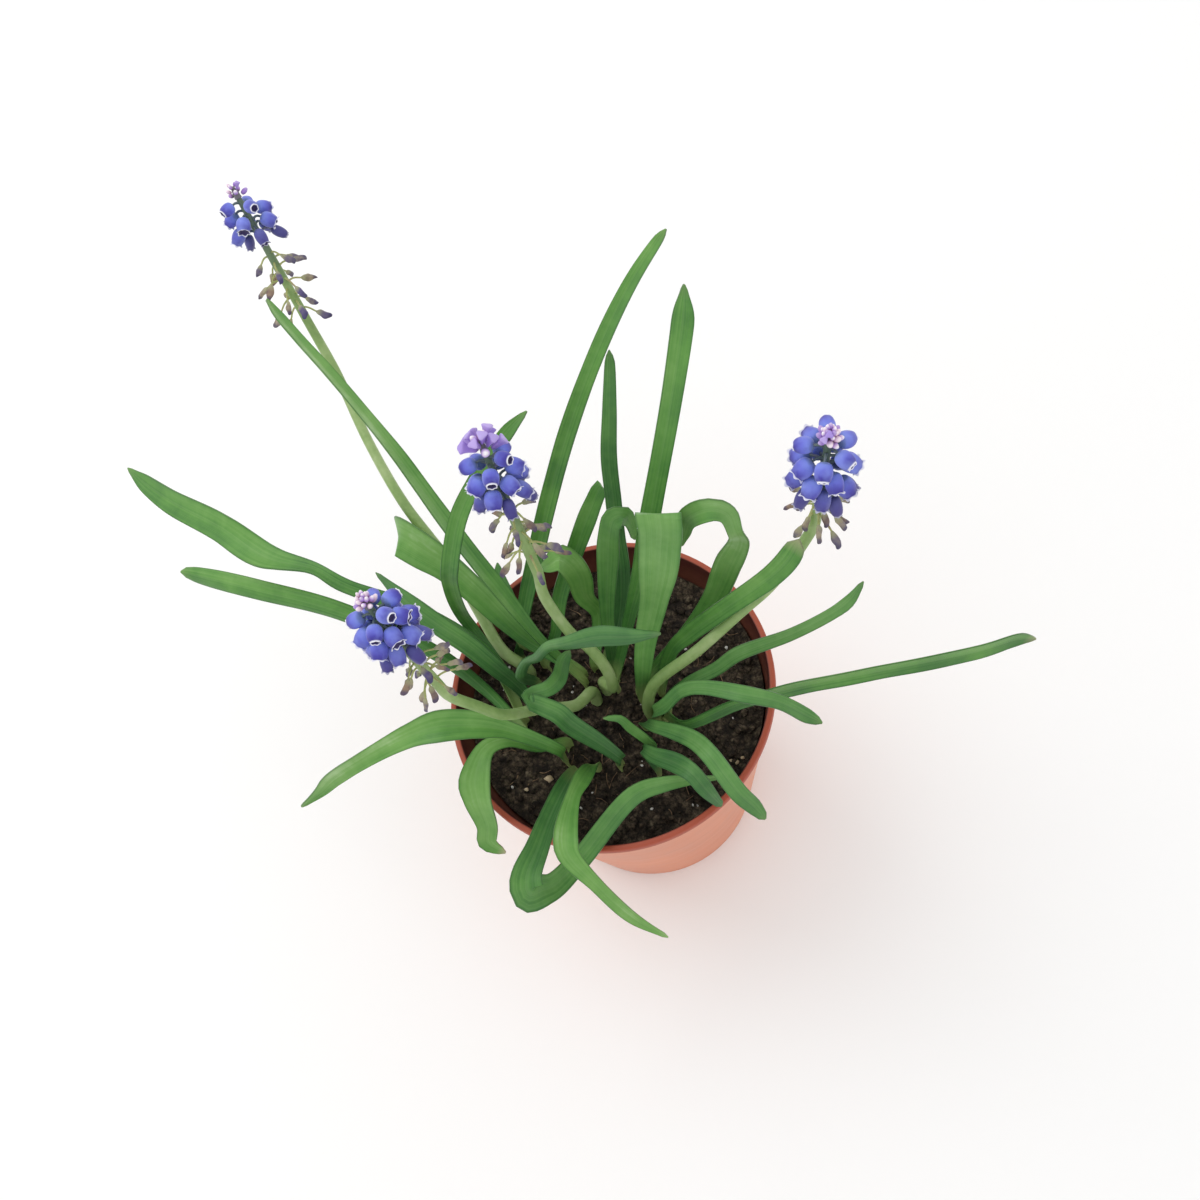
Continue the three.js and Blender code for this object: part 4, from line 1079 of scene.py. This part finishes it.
soilSet = {"top": 71, "radius": 41.2, "footRadius": 30.2, "foot": 4.1, "rings": 44, "around": 132,
           "crumbs": 1300, "perlite": 60, "fibres": 90,
           "pebbles": [(-18.6, -21.6, 1.25), (-25, -24, 0.7), (31.5, -19, 0.55), (33, -19.6, 0.75),
                       (34.6, -18.6, 0.6), (33.8, -25, 0.7), (-14, -33, 0.5), (24, 12, 0.6)]}  # x, y, size


def soilHeight(x, y):
    waves = 0.45 * math.sin(x * 0.33 + 1) * math.cos(y * 0.29)
    waves += 0.25 * math.sin((x + 2 * y) * 0.55) + 0.2 * math.cos((2 * x - y) * 0.7)
    mound = max(math.exp(-((x - bx) ** 2 + (y - by) ** 2) / 90) for bx, by in bulbPlaces.values())
    rough = 0.75 * noise.noise(Vector((x * 0.35, y * 0.35, 4)))
    rough += 0.4 * noise.noise(Vector((x * 0.9, y * 0.9, 1)))
    rough += 0.22 * noise.noise(Vector((x * 2.2, y * 2.2, 9)))
    edge = smoothStep(math.hypot(x, y), 41.5, 37.5)
    return soilSet["top"] - 0.3 + waves + 1.1 * mound + rough * edge


def makeSoil():
    deselectAll()
    bpy.ops.mesh.primitive_cylinder_add(vertices=soilSet["around"], radius=1, depth=2,
                                        end_fill_type="TRIFAN")
    obj = bpy.context.object
    bpy.ops.object.mode_set(mode="EDIT")
    mesh = bmesh.from_edit_mesh(obj.data)
    spokes = [edge for edge in mesh.edges if edge.verts[0].co.z > 0.5 and edge.verts[1].co.z > 0.5
              and min(vertex.co.xy.length for vertex in edge.verts) < 0.01]
    bmesh.ops.subdivide_edges(mesh, edges=spokes, cuts=soilSet["rings"] - 1, use_grid_fill=True)
    bmesh.update_edit_mesh(obj.data)
    bpy.ops.object.mode_set(mode="OBJECT")
    for vertex in obj.data.vertices:
        if vertex.co.z < 0:
            wide = soilSet["footRadius"]
            vertex.co = Vector((vertex.co.x * wide, vertex.co.y * wide, soilSet["foot"])) * mm
            continue
        x, y = vertex.co.x * soilSet["radius"], vertex.co.y * soilSet["radius"]
        vertex.co = Vector((x, y, soilHeight(x, y))) * mm
    smooth(obj, 80)
    return obj


def scatter(model, count, sizes, seed, sink):
    draw = random.Random(seed)
    copies = []
    while len(copies) < count:
        x, y = draw.uniform(-40, 40), draw.uniform(-40, 40)
        if math.hypot(x, y) > 39:
            continue
        size = lerp(*sizes, draw.random() ** 2)
        point = Vector((x, y, soilHeight(x, y) + size * sink))
        direction = Vector((draw.uniform(-1, 1), draw.uniform(-1, 1), draw.uniform(0.1, 1))).normalized()
        scale = Vector([size * draw.uniform(*span) for span in ((0.7, 1.2), (0.7, 1.2), (0.6, 1))])
        copies.append(placeCopy(model, point, direction, scale, anySpin(draw), draw.random()))
    return copies


def makeLump(name, rough, seed):
    deselectAll()
    bpy.ops.mesh.primitive_ico_sphere_add(subdivisions=2, radius=1)
    obj = bpy.context.object
    for vertex in obj.data.vertices:
        vertex.co *= 1 + rough * noise.noise(vertex.co * 1.7 + Vector((seed, 0, 0)))
    paintMix(obj, [(0, 0, 0, 0)] * len(obj.data.vertices))
    obj.name = name
    return obj


def soilSurface():
    s = Surface("peat", 0.9)
    coarse = s.noise(s.object, 230, 4, 0.7)
    fine = s.noise(s.object, 1700, 3, 0.7)
    grain = s.add("ShaderNodeTexVoronoi", {"Vector": s.object, "Scale": 620, "Randomness": 1})
    shade = s.math("MULTIPLY", s.math("SUBTRACT", grain.outputs["Color"], 0.5), 0.22)
    shade = s.math("ADD", shade, s.math("MULTIPLY", s.math("SUBTRACT", fine, 0.5), 0.6))
    color = s.ramp(s.math("ADD", coarse, shade),
                   [(0.25, (0.01, 0.008, 0.006)), (0.45, (0.045, 0.032, 0.022)), (0.63, (0.12, 0.09, 0.06)),
                    (0.85, (0.3, 0.24, 0.17))])
    # painted shade: the gaps between grains darker
    gap = s.range(grain.outputs["Distance"], 0.35, 0.8)
    s.wire(s.mix(s.math("MULTIPLY", gap, 0.75), color, (0.01, 0.008, 0.007)), "Base Color")
    s.bump(s.math("SUBTRACT", s.math("ADD", coarse, fine), gap), 0.9, 0.8)
    s.shader.inputs["Specular IOR Level"].default_value = 0.25
    return s.material


peat = soilSurface()
perliteSkin = mottledSurface("perlite", 0.85, (900, 3, 0.6), (0.3, 0.45, 0.6),
                             [(0.45, 0.43, 0.4), (0.6, 0.585, 0.56), (0.75, 0.74, 0.72)], 0.4)
stoneSkin = mottledSurface("stoneSkin", 0.8, (600, 3, 0.6), (0.3, 0.5, 0.7),
                           [(0.42, 0.3, 0.17), (0.52, 0.4, 0.255), (0.62, 0.5, 0.34)], 0.4)
fibreSkin = mottledSurface("fibre", 0.8, (200, 3, 0.6), (0.3, 0.5, 0.7),
                           [(0.09, 0.045, 0.025), (0.185, 0.1125, 0.0625), (0.28, 0.18, 0.1)], 0.4)
lumps = {"crumb": makeLump("crumbModel", 0.5, 3), "grain": makeLump("grainModel", 0.3, 8)}
ground = makeSoil()
crumbs = joinAll(scatter(lumps["crumb"], soilSet["crumbs"], (0.35, 1.5), 5, 0.25), "crumbs")
smooth(crumbs, 40)
grains = joinAll(scatter(lumps["grain"], soilSet["perlite"], (0.2, 0.6), 6, 0.5), "perliteGrains")
smooth(grains, 50)
pebbles = []
for x, y, size in soilSet["pebbles"]:
    point = Vector((x, y, soilHeight(x, y) + 0.5 * size))
    wide = Vector((size, size * 0.8, size * 0.7))
    pebbles.append(placeCopy(lumps["grain"], point, Vector((0.3, 0.2, 1)), wide, x, 0.5))
pebbles = joinAll(pebbles, "pebbles")
smooth(pebbles, 50)
for lump in lumps.values():
    bpy.data.objects.remove(lump)


def makeFibres():
    draw = random.Random(8)
    ways = []
    while len(ways) < soilSet["fibres"]:
        x, y = draw.uniform(-38, 38), draw.uniform(-38, 38)
        if math.hypot(x, y) > 37:
            continue
        angle = anySpin(draw)
        points = []
        for step in range(4):
            points.append(Vector((x, y, soilHeight(x, y) + draw.uniform(0.2, 1.1))))
            angle += draw.uniform(-0.6, 0.6)
            reach = draw.uniform(0.8, 2.2)
            x, y = x + math.cos(angle) * reach, y + math.sin(angle) * reach
        if all(point.xy.length < 39 for point in points):
            ways.append(points)
    return makePedicels("fibres", ways, 0.14, 0.4)


ground.name = "ground"
finishPiece(ground, peat, "soil", "soil")
finishPiece(crumbs, peat, "soil", "soil")
finishPiece(grains, perliteSkin, "soil", "soil")
finishPiece(pebbles, stoneSkin, "soil", "soil")
finishPiece(makeFibres(), fibreSkin, "soil", "soil")
print("soil made")


# bulbs: sunk in the soil, with their tops just under its surface

bulbSet = {"sides": 20, "rough": 0.03,
           "outline": [(50, 3.4), (53.0, 5.8), (58.2, 6.8), (63, 6.5), (67, 6.3), (69.2, 6), (70.2, 5.2),
                       (70.8, 3.4)]}


def makeBulb(letter, x, y):
    rings = [(z * mm, r * mm) for z, r in bulbSet["outline"]]
    obj = turnShape(f"tuber_{letter}", rings, bulbSet["sides"])
    for vertex in obj.data.vertices:
        push = 1 + bulbSet["rough"] * noise.noise(vertex.co * 300)
        vertex.co.x = vertex.co.x * push + x * mm
        vertex.co.y = vertex.co.y * push + y * mm
    roundOff(obj)
    smooth(obj, 60)
    return obj


bulbSkin = mottledSurface("bulbSkin", 0.7, (260, 3, 0.6), (0.3, 0.55, 0.75),
                          [(0.13, 0.09, 0.04), (0.26, 0.2, 0.09), (0.4, 0.34, 0.18)], 0.4)
for letter, (x, y) in bulbPlaces.items():
    finishPiece(makeBulb(letter, x, y), bulbSkin, "bulb", f"bulb_{letter}")
print("bulbs made")
